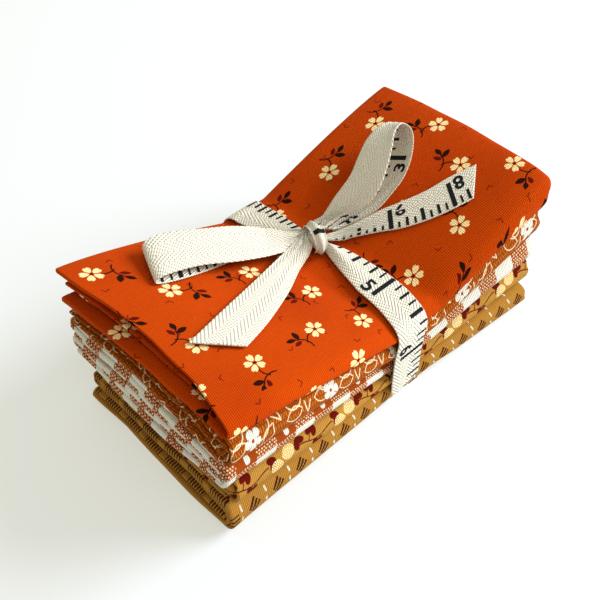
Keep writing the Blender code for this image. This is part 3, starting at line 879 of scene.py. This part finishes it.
def tape_object(ribbons, tape_width):
    """All stretches of the tape as one object. Its flat map runs along the tape in x and across it in y."""
    points, faces, flat = [], [], []
    start = 0.0
    count = 0
    for ribbon in ribbons:
        skin, along, across = ribbon_skin(ribbon)
        rows, columns = skin.shape[:2]
        ring = np.arange(columns)
        after = (ring + 1) % columns
        low = count + np.arange(rows - 1)[:, None] * columns
        high = low + columns
        sides = np.stack((low + ring, low + after, high + after, high + ring), axis=2)
        faces += sides.reshape(-1, 4).tolist()
        for row in (0, rows - 1):
            base = count + row * columns
            for i in range(1, columns // 2):
                lid = (base + i, base + i + 1, base + columns - i - 1, base + columns - i)
                if len(set(lid)) == 4:
                    faces.append(lid)
        points.append(skin.reshape(-1, 3))
        places = np.stack(np.broadcast_arrays(start + along, across * tape_width / 2), axis=2)
        flat.append(places.reshape(-1, 2))
        start += ribbon.length
        count += rows * columns
    return mesh_object("bow_tape", np.concatenate(points), faces, {"flat": np.concatenate(flat)})


Marks = namedtuple("Marks", "part face edge first number step start end inch")
# Which face of a part is printed, which edge its marks stand on, how far along its first inch bar is in
# millimetres, that bar's number, how the numbers go on, and in millimetres the stretch that shows marks and
# how long an inch looks. With 0 as the number there are bars without numbers, and with -1 only small ticks
TAPE_MARKS = [
    Marks("band", 1, 1, 26.6, 5, 1, 3, 110, 26.6),
    Marks("band", 1, 1, 163.2, -1, 0, 150, 206, 18.0),
    Marks("right_tail", 1, -1, 23.2, 9, -1, 3, 70, 20.4),
    Marks("left_loop", 1, -1, 63.6, 1, 1, 3, 110, 25.4),
    Marks("right_loop", -1, 1, 57.0, 3, 1, 3, 110, 25.4),
    Marks("knot", 1, 1, 11.2, 0, 0, 2, 14, 25.4),
]
TickSize = namedtuple("TickSize", "deep wide")
# How far marks reach in half tape widths, and how wide they are in millimetres
INCH_BAR = TickSize(1.58, 1.5)
HALF_MARK = TickSize(0.86, 1.2)
QUARTER_MARK = TickSize(0.66, 0.95)
EIGHTH_MARK = TickSize(0.50, 0.7)
MARK_EDGE = 0.94
NUMBER_HEIGHT = 5.3 * MM
NUMBER_BEFORE = 3.4 * MM
NUMBER_PLACE = -0.36
NUMBER_TYPE_SIZE = 1.35
NUMBER_BOLDNESS = 0.035
MARK_ROWS = 4
MARK_COLUMNS = 11
CLEAR_OF_END = 0.8 * MM
# Eighths of an inch that are tried, from the first inch bar
EIGHTHS = range(-60, 60)


def tick_size(eighth):
    if eighth % 8 == 0:
        return INCH_BAR
    if eighth % 4 == 0:
        return HALF_MARK
    if eighth % 2 == 0:
        return QUARTER_MARK
    return EIGHTH_MARK


def number_mesh(number):
    """A plain bold number as flat triangles, about 1 high, centred on 0."""
    curve = bpy.data.curves.new("number", "FONT")
    curve.body = str(number)
    curve.size = NUMBER_TYPE_SIZE
    curve.offset = NUMBER_BOLDNESS
    curve.align_x = "CENTER"
    curve.align_y = "CENTER"
    curve.resolution_u = 6
    obj = linked("number", curve)
    mesh = bpy.data.meshes.new_from_object(obj.evaluated_get(bpy.context.evaluated_depsgraph_get()))
    mesh.calc_loop_triangles()
    points = np.array([v.co for v in mesh.vertices])[:, :2]
    faces = [tuple(t.vertices) for t in mesh.loop_triangles]
    bpy.data.objects.remove(obj, do_unlink=True)
    bpy.data.meshes.remove(mesh)
    points -= (points.min(axis=0) + points.max(axis=0)) / 2
    return points, faces


def ink_object(ribbons, tape_width):
    """The printed marks and numbers, as a thin skin on the tape's printed face."""
    points, faces = [], []

    def add(places, new_faces):
        start = sum(len(p) for p in points)
        points.append(places)
        faces.extend(tuple(start + i for i in face) for face in new_faces)

    for marks in TAPE_MARKS:
        ribbon = ribbons[marks.part]
        reading = marks.edge * marks.face
        out = (TAPE_THICK / 2 + INK_LIFT) * marks.face
        end = min(marks.end * MM, ribbon.end_at(0.5 * marks.edge) - CLEAR_OF_END)
        for eighth in EIGHTHS:
            at = marks.first * MM + eighth * marks.inch * MM / 8
            if not marks.start * MM < at < end:
                continue
            size = tick_size(eighth) if marks.number >= 0 else tick_size(6 - eighth % 2)
            half = size.wide * MM / 2
            along = np.linspace(at - half, at + half, MARK_ROWS)[:, None]
            across = np.linspace(MARK_EDGE, MARK_EDGE - size.deep, MARK_COLUMNS)[None, :] * marks.edge
            add(ribbon.point(along, across, out).reshape(-1, 3), grid_faces(MARK_ROWS, MARK_COLUMNS))
            number = marks.number + marks.step * (eighth // 8)
            if eighth % 8 or marks.number <= 0 or number < 1:
                continue
            glyph, triangles = number_mesh(number)
            along = at + reading * (glyph[:, 0] * NUMBER_HEIGHT - NUMBER_BEFORE)
            across = marks.edge * (NUMBER_PLACE + glyph[:, 1] * NUMBER_HEIGHT / (tape_width / 2))
            add(ribbon.point(along, across, out), triangles)
    return mesh_object("tape_marks", np.concatenate(points), faces, {})


def knot_core(name):
    """What shows of the tape inside the knot: a small creased lump under its last turn."""
    x0, y0, lift = (v * MM for v in KNOT_AT)
    rows = np.linspace(-math.pi / 2, math.pi / 2, CORE_ROWS)[:, None]
    turns = np.linspace(0, math.tau, CORE_COLUMNS)[None, :]
    flat = np.cos(rows) * (1 + CORE_RIPPLE * np.sin(turns * 9 + rows * 3))
    size = [v * MM / 2 for v in KNOT_SIZE]
    x = x0 + np.cos(turns) * flat * size[0]
    y = y0 + np.sin(turns) * flat * size[1]
    z = top_height(x0, y0) + lift - CORE_LOWER + np.sin(rows) * size[2]
    points = np.stack(np.broadcast_arrays(x, y, z), axis=2)
    flat_map = np.stack(np.broadcast_arrays(turns * size[0] + CORE_FLAT_START, rows * size[2]), axis=2)
    return grid_object(name, points, {"flat": flat_map})


# Materials. A Field is a number that a material's nodes work out across the surface


class Field:
    """A number across a surface, written as ordinary arithmetic and kept as Math nodes."""

    def __init__(self, tree, socket):
        self.tree = tree
        self.socket = socket

    def math(self, kind, *others):
        node = self.tree.nodes.new("ShaderNodeMath")
        node.operation = kind
        for slot, value in zip(node.inputs, (self, *others)):
            if isinstance(value, Field):
                self.tree.links.new(value.socket, slot)
            else:
                slot.default_value = value
        return Field(self.tree, node.outputs[0])

    __add__ = __radd__ = partialmethod(math, "ADD")
    __mul__ = __rmul__ = partialmethod(math, "MULTIPLY")
    __sub__ = partialmethod(math, "SUBTRACT")
    __truediv__ = partialmethod(math, "DIVIDE")
    absolute = partialmethod(math, "ABSOLUTE")
    floor = partialmethod(math, "FLOOR")
    fraction = partialmethod(math, "FRACT")
    sine = partialmethod(math, "SINE")
    cosine = partialmethod(math, "COSINE")
    root = partialmethod(math, "SQRT")
    least = partialmethod(math, "MINIMUM")
    most = partialmethod(math, "MAXIMUM")

    def __rsub__(self, other):
        return self * -1.0 + other

    def constant(self, value):
        node = self.tree.nodes.new("ShaderNodeValue")
        node.outputs[0].default_value = value
        return Field(self.tree, node.outputs[0])

    def inverse(self):
        return 1.0 - self

    def under(self, edge, soft=0.08):
        """1 where this is less than edge, 0 where it is more, with a soft step between."""
        return ((edge - self) / soft + 0.5).most(0.0).least(1.0)


def length_of(x, y):
    return (x * x + y * y).root()


def turned(x, y, angle):
    """The same place in axes turned by an angle, which may itself be a Field."""
    if isinstance(angle, Field):
        c, s = angle.cosine(), angle.sine()
    else:
        c, s = math.cos(angle), math.sin(angle)
    return x * c + y * s, y * c - x * s


def oval(x, y, at, size, angle=0.0):
    """How far out a place lies from an oval's middle, 1 at its rim."""
    px, py = turned(x - at[0], y - at[1], angle)
    return length_of(px / size[0], py / size[1])


def arc(x, y, centre, radius, start, end):
    """Distance from a stretch of a circle, between two angles in degrees."""
    px, py = x - centre[0], y - centre[1]
    middle = math.radians((start + end) / 2)
    half = math.radians(abs(end - start) / 2)
    off = (length_of(px, py) - radius).absolute()
    qx, qy = turned(px, py, middle)
    heading = qy.math("ARCTAN2", qx).absolute()
    return off + (heading - half).most(0.0) * radius


def stroke(x, y, start, end):
    """Distance from a straight stroke."""
    run = (end[0] - start[0], end[1] - start[1])
    long = run[0] ** 2 + run[1] ** 2
    px, py = x - start[0], y - start[1]
    share = ((px * run[0] + py * run[1]) / long).most(0.0).least(1.0)
    return length_of(px - share * run[0], py - share * run[1])


def joined_place(x, y):
    """The socket of the place that two Fields give."""
    joined = x.tree.nodes.new("ShaderNodeCombineXYZ")
    x.tree.links.new(x.socket, joined.inputs[0])
    x.tree.links.new(y.socket, joined.inputs[1])
    return joined.outputs[0]


def cells(x, y, wide, high, seed, brick=0.5):
    """Places in a brickwork of cells: x and y from the cell's middle, and three random numbers for it."""
    row = (y / high).floor()
    shift = (row * 0.5).fraction() * 2.0 * brick
    column = (x / wide + shift).floor()
    tree = x.tree
    noise = tree.nodes.new("ShaderNodeTexWhiteNoise")
    noise.noise_dimensions = "3D"
    tree.links.new(joined_place(column + seed, row + seed * 1.7), noise.inputs["Vector"])
    parts = tree.nodes.new("ShaderNodeSeparateColor")
    tree.links.new(noise.outputs["Color"], parts.inputs[0])
    local_x = x - (column - shift + 0.5) * wide
    local_y = y - (row + 0.5) * high
    return local_x, local_y, [Field(tree, parts.outputs[i]) for i in range(3)]


def noise_field(x, y, pitch, detail=2.0, seed=0.0):
    """Soft random variation, from 0 to 1, with patches about pitch across."""
    tree = x.tree
    noise = tree.nodes.new("ShaderNodeTexNoise")
    noise.inputs["Scale"].default_value = 1.0
    noise.inputs["Detail"].default_value = detail
    tree.links.new(joined_place(x / pitch + seed, y / pitch), noise.inputs["Vector"])
    return Field(tree, noise.outputs[0])


def flower(x, y, radius, slim=0.33, notch=0.15):
    """A cover of 1 on five separate egg-shaped petals round a middle, each with a notch in its tip."""
    r = length_of(x, y) / radius
    heading = y.math("ARCTAN2", x) * (5 / math.tau)
    swing = ((heading + 0.5).fraction() - 0.5) * (math.tau / 5)
    px, py = r * swing.cosine(), r * swing.sine()
    wide = 0.16 + px * (slim - 0.16) * 1.35
    petal = length_of((px - 0.60) / 0.40, py / wide).under(1.0, 0.12)
    if notch:
        petal = petal * (1.0 - length_of((px - 1.04) / notch, py / (notch * 0.7)).under(1.0, 0.3))
    return petal


def pointed_leaf(x, y, at, size, angle):
    """How far out a place lies from a leaf with two pointed ends, 1 at its rim."""
    px, py = turned(x - at[0], y - at[1], angle)
    along = px / size[0]
    return py.absolute() / size[1] + along * along


def finish_material(name, inputs):
    """A new Principled material with the inputs that are the same all over."""
    material = bpy.data.materials.new(name)
    material.use_nodes = True
    shader = material.node_tree.nodes["Principled BSDF"]
    for socket, value in inputs.items():
        shader.inputs[socket].default_value = value
    return material, material.node_tree, shader


def flat_fields(tree):
    """The place on the flat cloth, in millimetres, as two Fields."""
    uv = tree.nodes.new("ShaderNodeUVMap")
    uv.uv_map = "flat"
    parts = tree.nodes.new("ShaderNodeSeparateXYZ")
    tree.links.new(uv.outputs[0], parts.inputs[0])
    return tuple(Field(tree, parts.outputs[i]) * MM_PER_METRE for i in range(2))


def relief(tree, shader, height, distance):
    """Lets the light fall on a surface as if it were raised by a Field."""
    bump = tree.nodes.new("ShaderNodeBump")
    bump.inputs["Strength"].default_value = RELIEF_STRENGTH
    bump.inputs["Distance"].default_value = distance
    tree.links.new(height.socket, bump.inputs["Height"])
    tree.links.new(bump.outputs[0], shader.inputs["Normal"])


class Paint:
    """The colour of a surface, built up one printed layer at a time."""

    def __init__(self, tree, ground):
        self.tree = tree
        self.value = (*ground, 1.0)

    def mix(self, colour, cover, kind="MIX"):
        node = self.tree.nodes.new("ShaderNodeMix")
        node.data_type = "RGBA"
        node.blend_type = kind
        node.clamp_factor = True
        self.tree.links.new(cover.socket, node.inputs[0])
        for slot, value in ((node.inputs[6], self.value), (node.inputs[7], colour)):
            if isinstance(value, tuple):
                slot.default_value = value
            else:
                self.tree.links.new(value, slot)
        self.value = node.outputs[2]

    def layer(self, colour, cover):
        self.mix((*colour, 1.0), cover)

    def shade(self, amount):
        """Darkens or lightens by a Field that is 1 where nothing changes."""
        joined = self.tree.nodes.new("ShaderNodeCombineColor")
        for i in range(3):
            self.tree.links.new(amount.socket, joined.inputs[i])
        self.mix(joined.outputs[0], amount.constant(1.0), "MULTIPLY")


def cotton(name, ground, print_layers, pitch):
    """Plain-weave quilting cotton: its print, the weave's light and dark, and a fine relief."""
    material, tree, shader = finish_material(name, COTTON_FINISH)
    x, y = flat_fields(tree)
    paint = Paint(tree, ground)
    print_layers(paint, x, y)
    threads = pitch * MM_PER_METRE
    warp = (x * (math.tau / threads)).sine()
    weft = (y * (math.tau / threads)).sine()
    slub = noise_field(x * 0.25, y, threads * 1.2, 1.0, seed=31.0)
    weave = warp * 0.5 + weft * 0.5 + (slub - 0.5) * 1.2
    patch = noise_field(x, y, 26.0, 2.0, seed=7.0)
    paint.shade(1.0 + weave * 0.13 + (patch - 0.5) * 0.2)
    tree.links.new(paint.value, shader.inputs["Base Color"])
    relief(tree, shader, weave, COTTON_RELIEF)
    return material


# Prints. Their sizes are millimetres on the flat cloth, and their angles radians, but degrees in arc


def settings():
    return bpy.context.scene.bundle_cloths


def sprig_print(paint, x, y):
    """Tossed sprigs of one small flower with a forked stem and three leaves, and small bent ticks between."""
    colours = settings()
    tone = noise_field(x, y, 34.0, 1.0, seed=3.0)
    paint.layer(colours.red_orange, (tone - 0.45) * 1.6)
    tx, ty, chance = cells(x + 4.0, y + 3.0, 12.5, 11.5, seed=5.0)
    tx, ty = turned(tx + (chance[1] - 0.5) * 4.5, ty + (chance[2] - 0.5) * 4.0, chance[0] * math.tau)
    tick = stroke(tx, ty, (-0.95, -0.6), (0.0, 0.45)).least(stroke(tx, ty, (0.0, 0.45), (1.0, -0.3)))
    paint.layer(colours.red, tick.under(0.2, 0.2) * 0.75)
    px, py, chance = cells(x + 2.0, y + 2.0, 22.0, 17.5, seed=11.0)
    px = px + (chance[0] - 0.5) * 5.0
    py = py + (chance[1] - 0.5) * 3.4
    px, py = turned(px, py, (chance[2] * 5.0).floor() * (math.tau / 5) + chance[0] * 0.7)
    stem = arc(px, py, (-7.9, -1.9), 4.4, -28, 40)
    stem = stem.least(arc(px, py, (-0.7, -4.2), 4.2, 72, 142))
    stem = stem.least(stroke(px, py, (-4.6, 1.0), (-5.9, 2.2)))
    paint.layer(colours.dark, stem.under(0.23, 0.14))
    leaves = pointed_leaf(px, py, (-4.2, 2.9), (1.9, 0.95), 1.25)
    leaves = leaves.least(pointed_leaf(px, py, (-6.9, 3.0), (1.7, 0.85), 2.6))
    paint.layer(colours.dark, leaves.under(1.0, 0.2))
    paint.layer(colours.red, pointed_leaf(px, py, (-6.3, 0.5), (1.6, 0.75), -0.15).under(1.0, 0.25))
    head_x, head_y = px - 2.2, py + 0.5
    paint.layer(colours.cream, flower(head_x, head_y, 3.4))
    paint.layer(colours.dark, length_of(head_x, head_y).under(0.42, 0.3))


def leaf_print(paint, x, y):
    """Short golden dashes under outlined leaves, small chevrons and round white flowers."""
    colours = settings()
    tone = noise_field(x, y, 6.0, 1.0, seed=6.0)
    paint.layer(colours.brick, (tone - 0.4) * 1.5)
    dash_x, dash_y, chance = cells(x, y, 0.95, 1.9, seed=2.0)
    dash_x, dash_y = turned(dash_x, dash_y, (chance[1] - 0.5) * 0.7)
    dash = stroke(dash_x, dash_y, (0.0, -0.55), (0.0, 0.55))
    paint.layer(colours.dash, dash.under(0.17, 0.14) * 0.8)
    px, py, chance = cells(x + 6.0, y - 79.2 + 4.3, 10.6, 8.6, seed=9.0)
    px, py = turned(px + (chance[0] - 0.5) * 1.6, py, (chance[1] - 0.5) * 1.5)
    rim = (pointed_leaf(px, py, (-1.6, 0.0), (3.1, 1.75), 0.25) - 1.0).absolute()
    paint.layer(colours.pale, rim.under(0.11, 0.09) * 0.95)
    chevron = stroke(px, py, (2.3, 2.0), (3.4, -1.4)).least(stroke(px, py, (3.4, -1.4), (4.6, 1.7)))
    chevron = chevron.least(arc(px, py, (-1.6, 4.4), 3.2, -160, -20))
    paint.layer(colours.pale, chevron.under(0.18, 0.12) * 0.95)
    fx, fy, chance = cells(x + 24.0, y - 79.6 + 5.2, 30.0, 10.4, seed=4.0)
    fx, fy = turned(fx, fy, chance[0] * math.tau)
    head = flower(fx, fy, 2.9, slim=0.42, notch=0.0).most(length_of(fx, fy).under(1.3, 0.2))
    paint.layer(colours.white, head)
    paint.layer(colours.brick, length_of(fx, fy).under(0.5, 0.25))


def check_print(paint, x, y):
    """White and mottled blocks in alternate rows, and plain blocks with drops between them."""
    colours = settings()
    side = 7.5
    x = x - 129.5
    y = y - x * 0.032 - 77.6
    grain_x, grain_y, chance = cells(x, y, 0.98, 0.78, seed=13.0)
    grain = length_of(grain_x + (chance[0] - 0.5) * 0.3, (grain_y + (chance[1] - 0.5) * 0.2) * 1.2)
    mottled = grain.under(0.28, 0.16)
    row = (y / side).floor()
    column = (x / side).floor()
    even_row = ((row * 0.5).fraction() * 2.0).under(0.5, 0.1)
    even_column = ((column * 0.5).fraction() * 2.0).under(0.5, 0.1)
    odd_row = even_row.inverse()
    odd_column = even_column.inverse()
    paint.layer(colours.white, odd_row * even_column)
    paint.layer(colours.pale, mottled * 0.95 * (even_row * even_column + odd_row * odd_column))
    drop_x, drop_y, chance = cells(x, y, side, side, seed=3.0, brick=0.0)
    drop_x, drop_y = turned(drop_x, drop_y, 0.15 + (chance[1] - 0.5) * 0.3)
    wide = 0.66 - drop_y * 0.14
    drops = length_of(drop_x / wide, (drop_y + 1.7) / 1.5).under(1.0, 0.2)
    beside = oval(drop_x, drop_y, (1.9, 1.5), (1.1, 0.42), 0.6)
    beside = beside.least(oval(drop_x, drop_y, (-2.3, 1.9), (1.1, 0.42), 0.6))
    paint.layer(colours.white, drops.most(beside.under(1.0, 0.25)) * even_row * odd_column)


def heart(x, y, at, angle):
    """A cover of 1 on a small heart-shaped leaf, whose point looks back along the angle."""
    hx, hy = turned(x - at[0], y - at[1], angle - math.pi / 2)
    return oval(hx.absolute(), hy, (0.76, 0.3), (1.08, 1.8), 0.62).under(1.0, 0.15)


def vine_print(paint, x, y):
    """A wandering dark red vine with heart-shaped leaves, and rounds of cream dots."""
    colours = settings()
    px, py, _ = cells(x + 1.0, y - 79.2 + 5.5, 26.0, 11.0, seed=8.0)
    wave_y = py - (px * (math.tau / 13.0)).sine() * 0.8
    vine = (wave_y * 0.93).absolute().most((px + 4.2).absolute() - 7.6)
    vine = vine.least(stroke(px, py, (-6.6, 0.0), (-5.9, 1.6)))
    paint.layer(colours.red, vine.under(0.2, 0.14))
    for at, angle in (((-10.4, 1.6), 2.2), ((-3.4, -2.0), -1.9), ((4.8, 1.2), 0.3), ((-5.0, 2.4), 1.0)):
        paint.layer(colours.red, heart(px, py, at, angle))
    dx, dy, _ = cells(x + 18.2, y - 79.4 + 5.5, 26.0, 11.0, seed=8.0)
    dot_x, dot_y, _ = cells(x, y, 0.76, 0.66, seed=1.0)
    rounds = length_of(dx - 2.5, dy - 1.0).least(length_of(dx + 2.2, dy + 1.2)).under(2.3, 0.1)
    paint.layer(colours.cream, rounds * length_of(dot_x, dot_y).under(0.31, 0.14))


def stroke_print(paint, x, y):
    """Groups of three slanting dark strokes, lines of small white stitches and bands of short dark bars."""
    colours = settings()
    x = x - 133.0
    sx, sy, _ = cells(x + 4.65, y - 78.6 + 3.6, 9.3, 7.2, seed=12.0, brick=0.0)
    line_x, line_y = turned(sx, sy, -0.78)
    line = ((line_x / 1.15 + 0.5).fraction() - 0.5).absolute() * 1.15
    group = line.under(0.36, 0.16) * line_x.absolute().under(1.7, 0.1) * line_y.absolute().under(1.75, 0.2)
    bar_zone = x.absolute().under(4.4, 0.2)
    plain = bar_zone.inverse()
    paint.layer(colours.bar, group * plain)
    tx, ty, _ = cells(x + 9.3, y - 76.0, 9.3, 2.9, seed=2.0, brick=0.0)
    stitch = stroke(tx, ty, (0.12, -0.55), (-0.12, 0.55)).under(0.27, 0.14)
    paint.layer(colours.white, stitch * plain)
    block = ((y / 11.6).fraction() - 0.5).absolute().under(0.37, 0.02)
    bars = ((y / 1.18).fraction() - 0.5).absolute().under(0.23, 0.12)
    bars = bars * (x.absolute() - 1.9).absolute().under(1.75, 0.2)
    printed = (y - 306.0).absolute().under(72.0, 1.0).inverse() * y.under(70.0, 1.0).inverse()
    paint.layer(colours.bar, bars * block * bar_zone * printed)


def tape_material(name, tape):
    """Cream cotton herringbone twill, with painted shade in the small hollows between its ridges."""
    material, tree, shader = finish_material(name, TWILL_FINISH)
    x, y = flat_fields(tree)
    width = tape.width * MM_PER_METRE
    zone = width / 4
    zigzag = ((y / (2 * zone)).fraction() - 0.5).absolute() * (2 * zone)
    pitch = tape.rib_pitch * MM_PER_METRE
    ridge = (((x * 0.62 + zigzag) / pitch) * math.tau).sine()
    beads = (((x - zigzag * 0.62) / (pitch * 0.8)) * math.tau).sine()
    thread_noise = noise_field(x, y, 0.5, 2.0, seed=4.0)
    height = ridge * 0.5 + beads * 0.3 + (thread_noise - 0.5) * 0.7
    paint = Paint(tree, tape.colour)
    # Painted shade: the hollows between the twill's ridges are darkened with the hollow colour where the
    # relief is low
    paint.layer(tape.shade, -0.2 - height)
    edge = (y.absolute() / (width / 2) - 0.93).most(0.0) * 9.0
    paint.layer(SELVEDGE_COLOUR, edge * 0.6)
    tree.links.new(paint.value, shader.inputs["Base Color"])
    relief(tree, shader, height, TWILL_RELIEF)
    return material


def ink_material(name, tape):
    """Black ink that has soaked into the twill."""
    return finish_material(name, {"Base Color": (*tape.ink, 1.0), **INK_FINISH})[0]


PRINTS = {
    "cloth_1_sprig": ("orange", sprig_print),
    "cloth_2_leaf": ("rust", leaf_print),
    "cloth_3_check": ("brick", check_print),
    "cloth_4_vine": ("tan", vine_print),
    "cloth_5_stroke": ("gold", stroke_print),
}


# Operators


def add_cloth(name, top_rows=22, top_pieces=40, inner_pieces=12):
    """top_rows and top_pieces are the mesh's steps across and along what lies on top, inner_pieces those along
    the rest.
    """
    cloth = settings()
    obj = folded_sheet(name, cloth.sheet_length, cloth.sheet_width, top_rows, top_pieces, inner_pieces)
    ground, layers = PRINTS[name]
    obj.data.materials.append(cotton(name + "_print", getattr(cloth, ground), layers, cloth.thread_pitch))
    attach(obj, "root")
    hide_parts(name)
    return {"FINISHED"}


class BUNDLE_OT_sprig_cloth(bpy.types.Operator):
    """Adds the top fat quarter, rust orange with small sprigs"""

    bl_idname = "bundle.sprig_cloth"
    bl_label = "Sprig Cloth"

    def execute(self, context):
        return add_cloth("cloth_1_sprig", top_rows=56, top_pieces=64, inner_pieces=44)


class BUNDLE_OT_leaf_cloth(bpy.types.Operator):
    """Adds the second fat quarter, brown rust with outlined leaves"""

    bl_idname = "bundle.leaf_cloth"
    bl_label = "Leaf Cloth"

    def execute(self, context):
        return add_cloth("cloth_2_leaf")


class BUNDLE_OT_check_cloth(bpy.types.Operator):
    """Adds the third fat quarter, in white and mottled blocks"""

    bl_idname = "bundle.check_cloth"
    bl_label = "Check Cloth"

    def execute(self, context):
        return add_cloth("cloth_3_check")


class BUNDLE_OT_vine_cloth(bpy.types.Operator):
    """Adds the fourth fat quarter, golden tan with a vine"""

    bl_idname = "bundle.vine_cloth"
    bl_label = "Vine Cloth"

    def execute(self, context):
        return add_cloth("cloth_4_vine")


class BUNDLE_OT_stroke_cloth(bpy.types.Operator):
    """Adds the lowest fat quarter, golden brown with dark strokes"""

    bl_idname = "bundle.stroke_cloth"
    bl_label = "Stroke Cloth"

    def execute(self, context):
        return add_cloth("cloth_5_stroke")


class BUNDLE_OT_tape_bow(bpy.types.Operator):
    """Adds the twill tape: its turn round the pile, its knot, two loops, two tails and its printed marks"""

    bl_idname = "bundle.tape_bow"
    bl_label = "Tape Bow"

    def execute(self, context):
        tape = context.scene.bundle_tape
        ribbons = tape_parts(tape.width)
        obj = tape_object(ribbons.values(), tape.width)
        ink = ink_object(ribbons, tape.width)
        core = knot_core("knot_core")
        twill = tape_material("herringbone_twill", tape)
        obj.data.materials.append(twill)
        core.data.materials.append(twill)
        ink.data.materials.append(ink_material("printed_ink", tape))
        for piece in (obj, ink, core):
            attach(piece, "root")
        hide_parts("tape_bow")
        return {"FINISHED"}


def area_lamp(name, place, power, colour):
    """A round lamp that points at the bundle."""
    data = bpy.data.lights.new(name, "AREA")
    data.shape = "DISK"
    data.size = LAMP_SIZE
    data.energy = power
    data.color = colour
    lamp = linked(name, data)
    lamp.location = place
    lamp.rotation_euler = (Vector(LAMP_TARGET) - Vector(place)).to_track_quat("-Z", "Y").to_euler()


def photo_camera():
    """The camera that took the photograph, worked out from the pile's straight edges."""
    azimuth, elevation, roll = (math.radians(v) for v in (CAMERA_AZIMUTH, CAMERA_ELEVATION, CAMERA_ROLL))
    level = math.cos(elevation)
    away = Vector((math.sin(azimuth) * level, -math.cos(azimuth) * level, math.sin(elevation)))
    right = (-away).cross(Vector((0, 0, 1))).normalized()
    up = right.cross(-away)
    tilted_right = right * math.cos(roll) + up * math.sin(roll)
    tilted_up = up * math.cos(roll) - right * math.sin(roll)
    matrix = Matrix((tilted_right, tilted_up, away)).transposed().to_4x4()
    matrix.translation = Vector(CAMERA_TARGET) + away * CAMERA_DISTANCE
    data = bpy.data.cameras.new("photo_camera")
    data.sensor_width = SENSOR_MM
    data.lens = FOCAL_PIXELS / FRAME_PIXELS * SENSOR_MM
    data.clip_start = 0.01
    camera = linked("photo_camera", data)
    camera.matrix_world = matrix
    bpy.context.scene.camera = camera


class BUNDLE_OT_stage(bpy.types.Operator):
    """Adds the floor, the soft light and the photograph's camera"""

    bl_idname = "bundle.stage"
    bl_label = "Stage"

    def execute(self, context):
        stage = context.scene.bundle_stage
        corners = np.array([(x * FLOOR_HALF, y * FLOOR_HALF, FLOOR_HEIGHT) for x, y in FLOOR_CORNERS])
        floor = mesh_object("floor", corners, [(0, 1, 2, 3)], {})
        finish = {
            "Base Color": (*stage.floor, 1.0),
            "Roughness": 0.7,
            "Emission Color": (*FLOOR_GLOW, 1.0),
            "Emission Strength": FLOOR_GLOW_STRENGTH,
        }
        floor.data.materials.append(finish_material("floor", finish)[0])
        area_lamp("key", KEY_PLACE, stage.key_power, KEY_COLOUR)
        area_lamp("fill", FILL_PLACE, stage.fill_power, FILL_COLOUR)
        world = bpy.data.worlds.new("studio")
        world.use_nodes = True
        background = world.node_tree.nodes["Background"]
        background.inputs[0].default_value = (*SKY_COLOUR, 1.0)
        background.inputs[1].default_value = stage.sky
        context.scene.world = world
        context.scene.view_settings.view_transform = "Standard"
        photo_camera()
        return {"FINISHED"}


class BUNDLE_PT_panel(bpy.types.Panel):
    """The bundle's pieces and settings"""

    bl_label = "Fabric Bundle"
    bl_idname = "BUNDLE_PT_panel"
    bl_space_type = "VIEW_3D"
    bl_region_type = "UI"
    bl_category = "Fabric Bundle"

    def draw(self, context):
        for operator in OPERATORS:
            self.layout.operator(operator.bl_idname)
        for name in SETTINGS:
            group = getattr(context.scene, name)
            for setting in group.__annotations__:
                self.layout.prop(group, setting)


OPERATORS = [
    BUNDLE_OT_stage,
    BUNDLE_OT_stroke_cloth,
    BUNDLE_OT_vine_cloth,
    BUNDLE_OT_check_cloth,
    BUNDLE_OT_leaf_cloth,
    BUNDLE_OT_sprig_cloth,
    BUNDLE_OT_tape_bow,
]
SETTINGS = {"bundle_cloths": ClothSettings, "bundle_tape": TapeSettings, "bundle_stage": StageSettings}
CLASSES = [*SETTINGS.values(), *OPERATORS, BUNDLE_PT_panel]


def register():
    for cls in CLASSES:
        bpy.utils.register_class(cls)
    for name, group in SETTINGS.items():
        setattr(bpy.types.Scene, name, bpy.props.PointerProperty(type=group))


def unregister():
    for name in SETTINGS:
        delattr(bpy.types.Scene, name)
    for cls in reversed(CLASSES):
        bpy.utils.unregister_class(cls)


def main():
    register()
    bpy.ops.bundle.stage()
    bpy.ops.bundle.stroke_cloth()
    bpy.ops.bundle.vine_cloth()
    bpy.ops.bundle.check_cloth()
    bpy.ops.bundle.leaf_cloth()
    bpy.ops.bundle.sprig_cloth()
    bpy.ops.bundle.tape_bow()


if __name__ == "__main__":
    main()
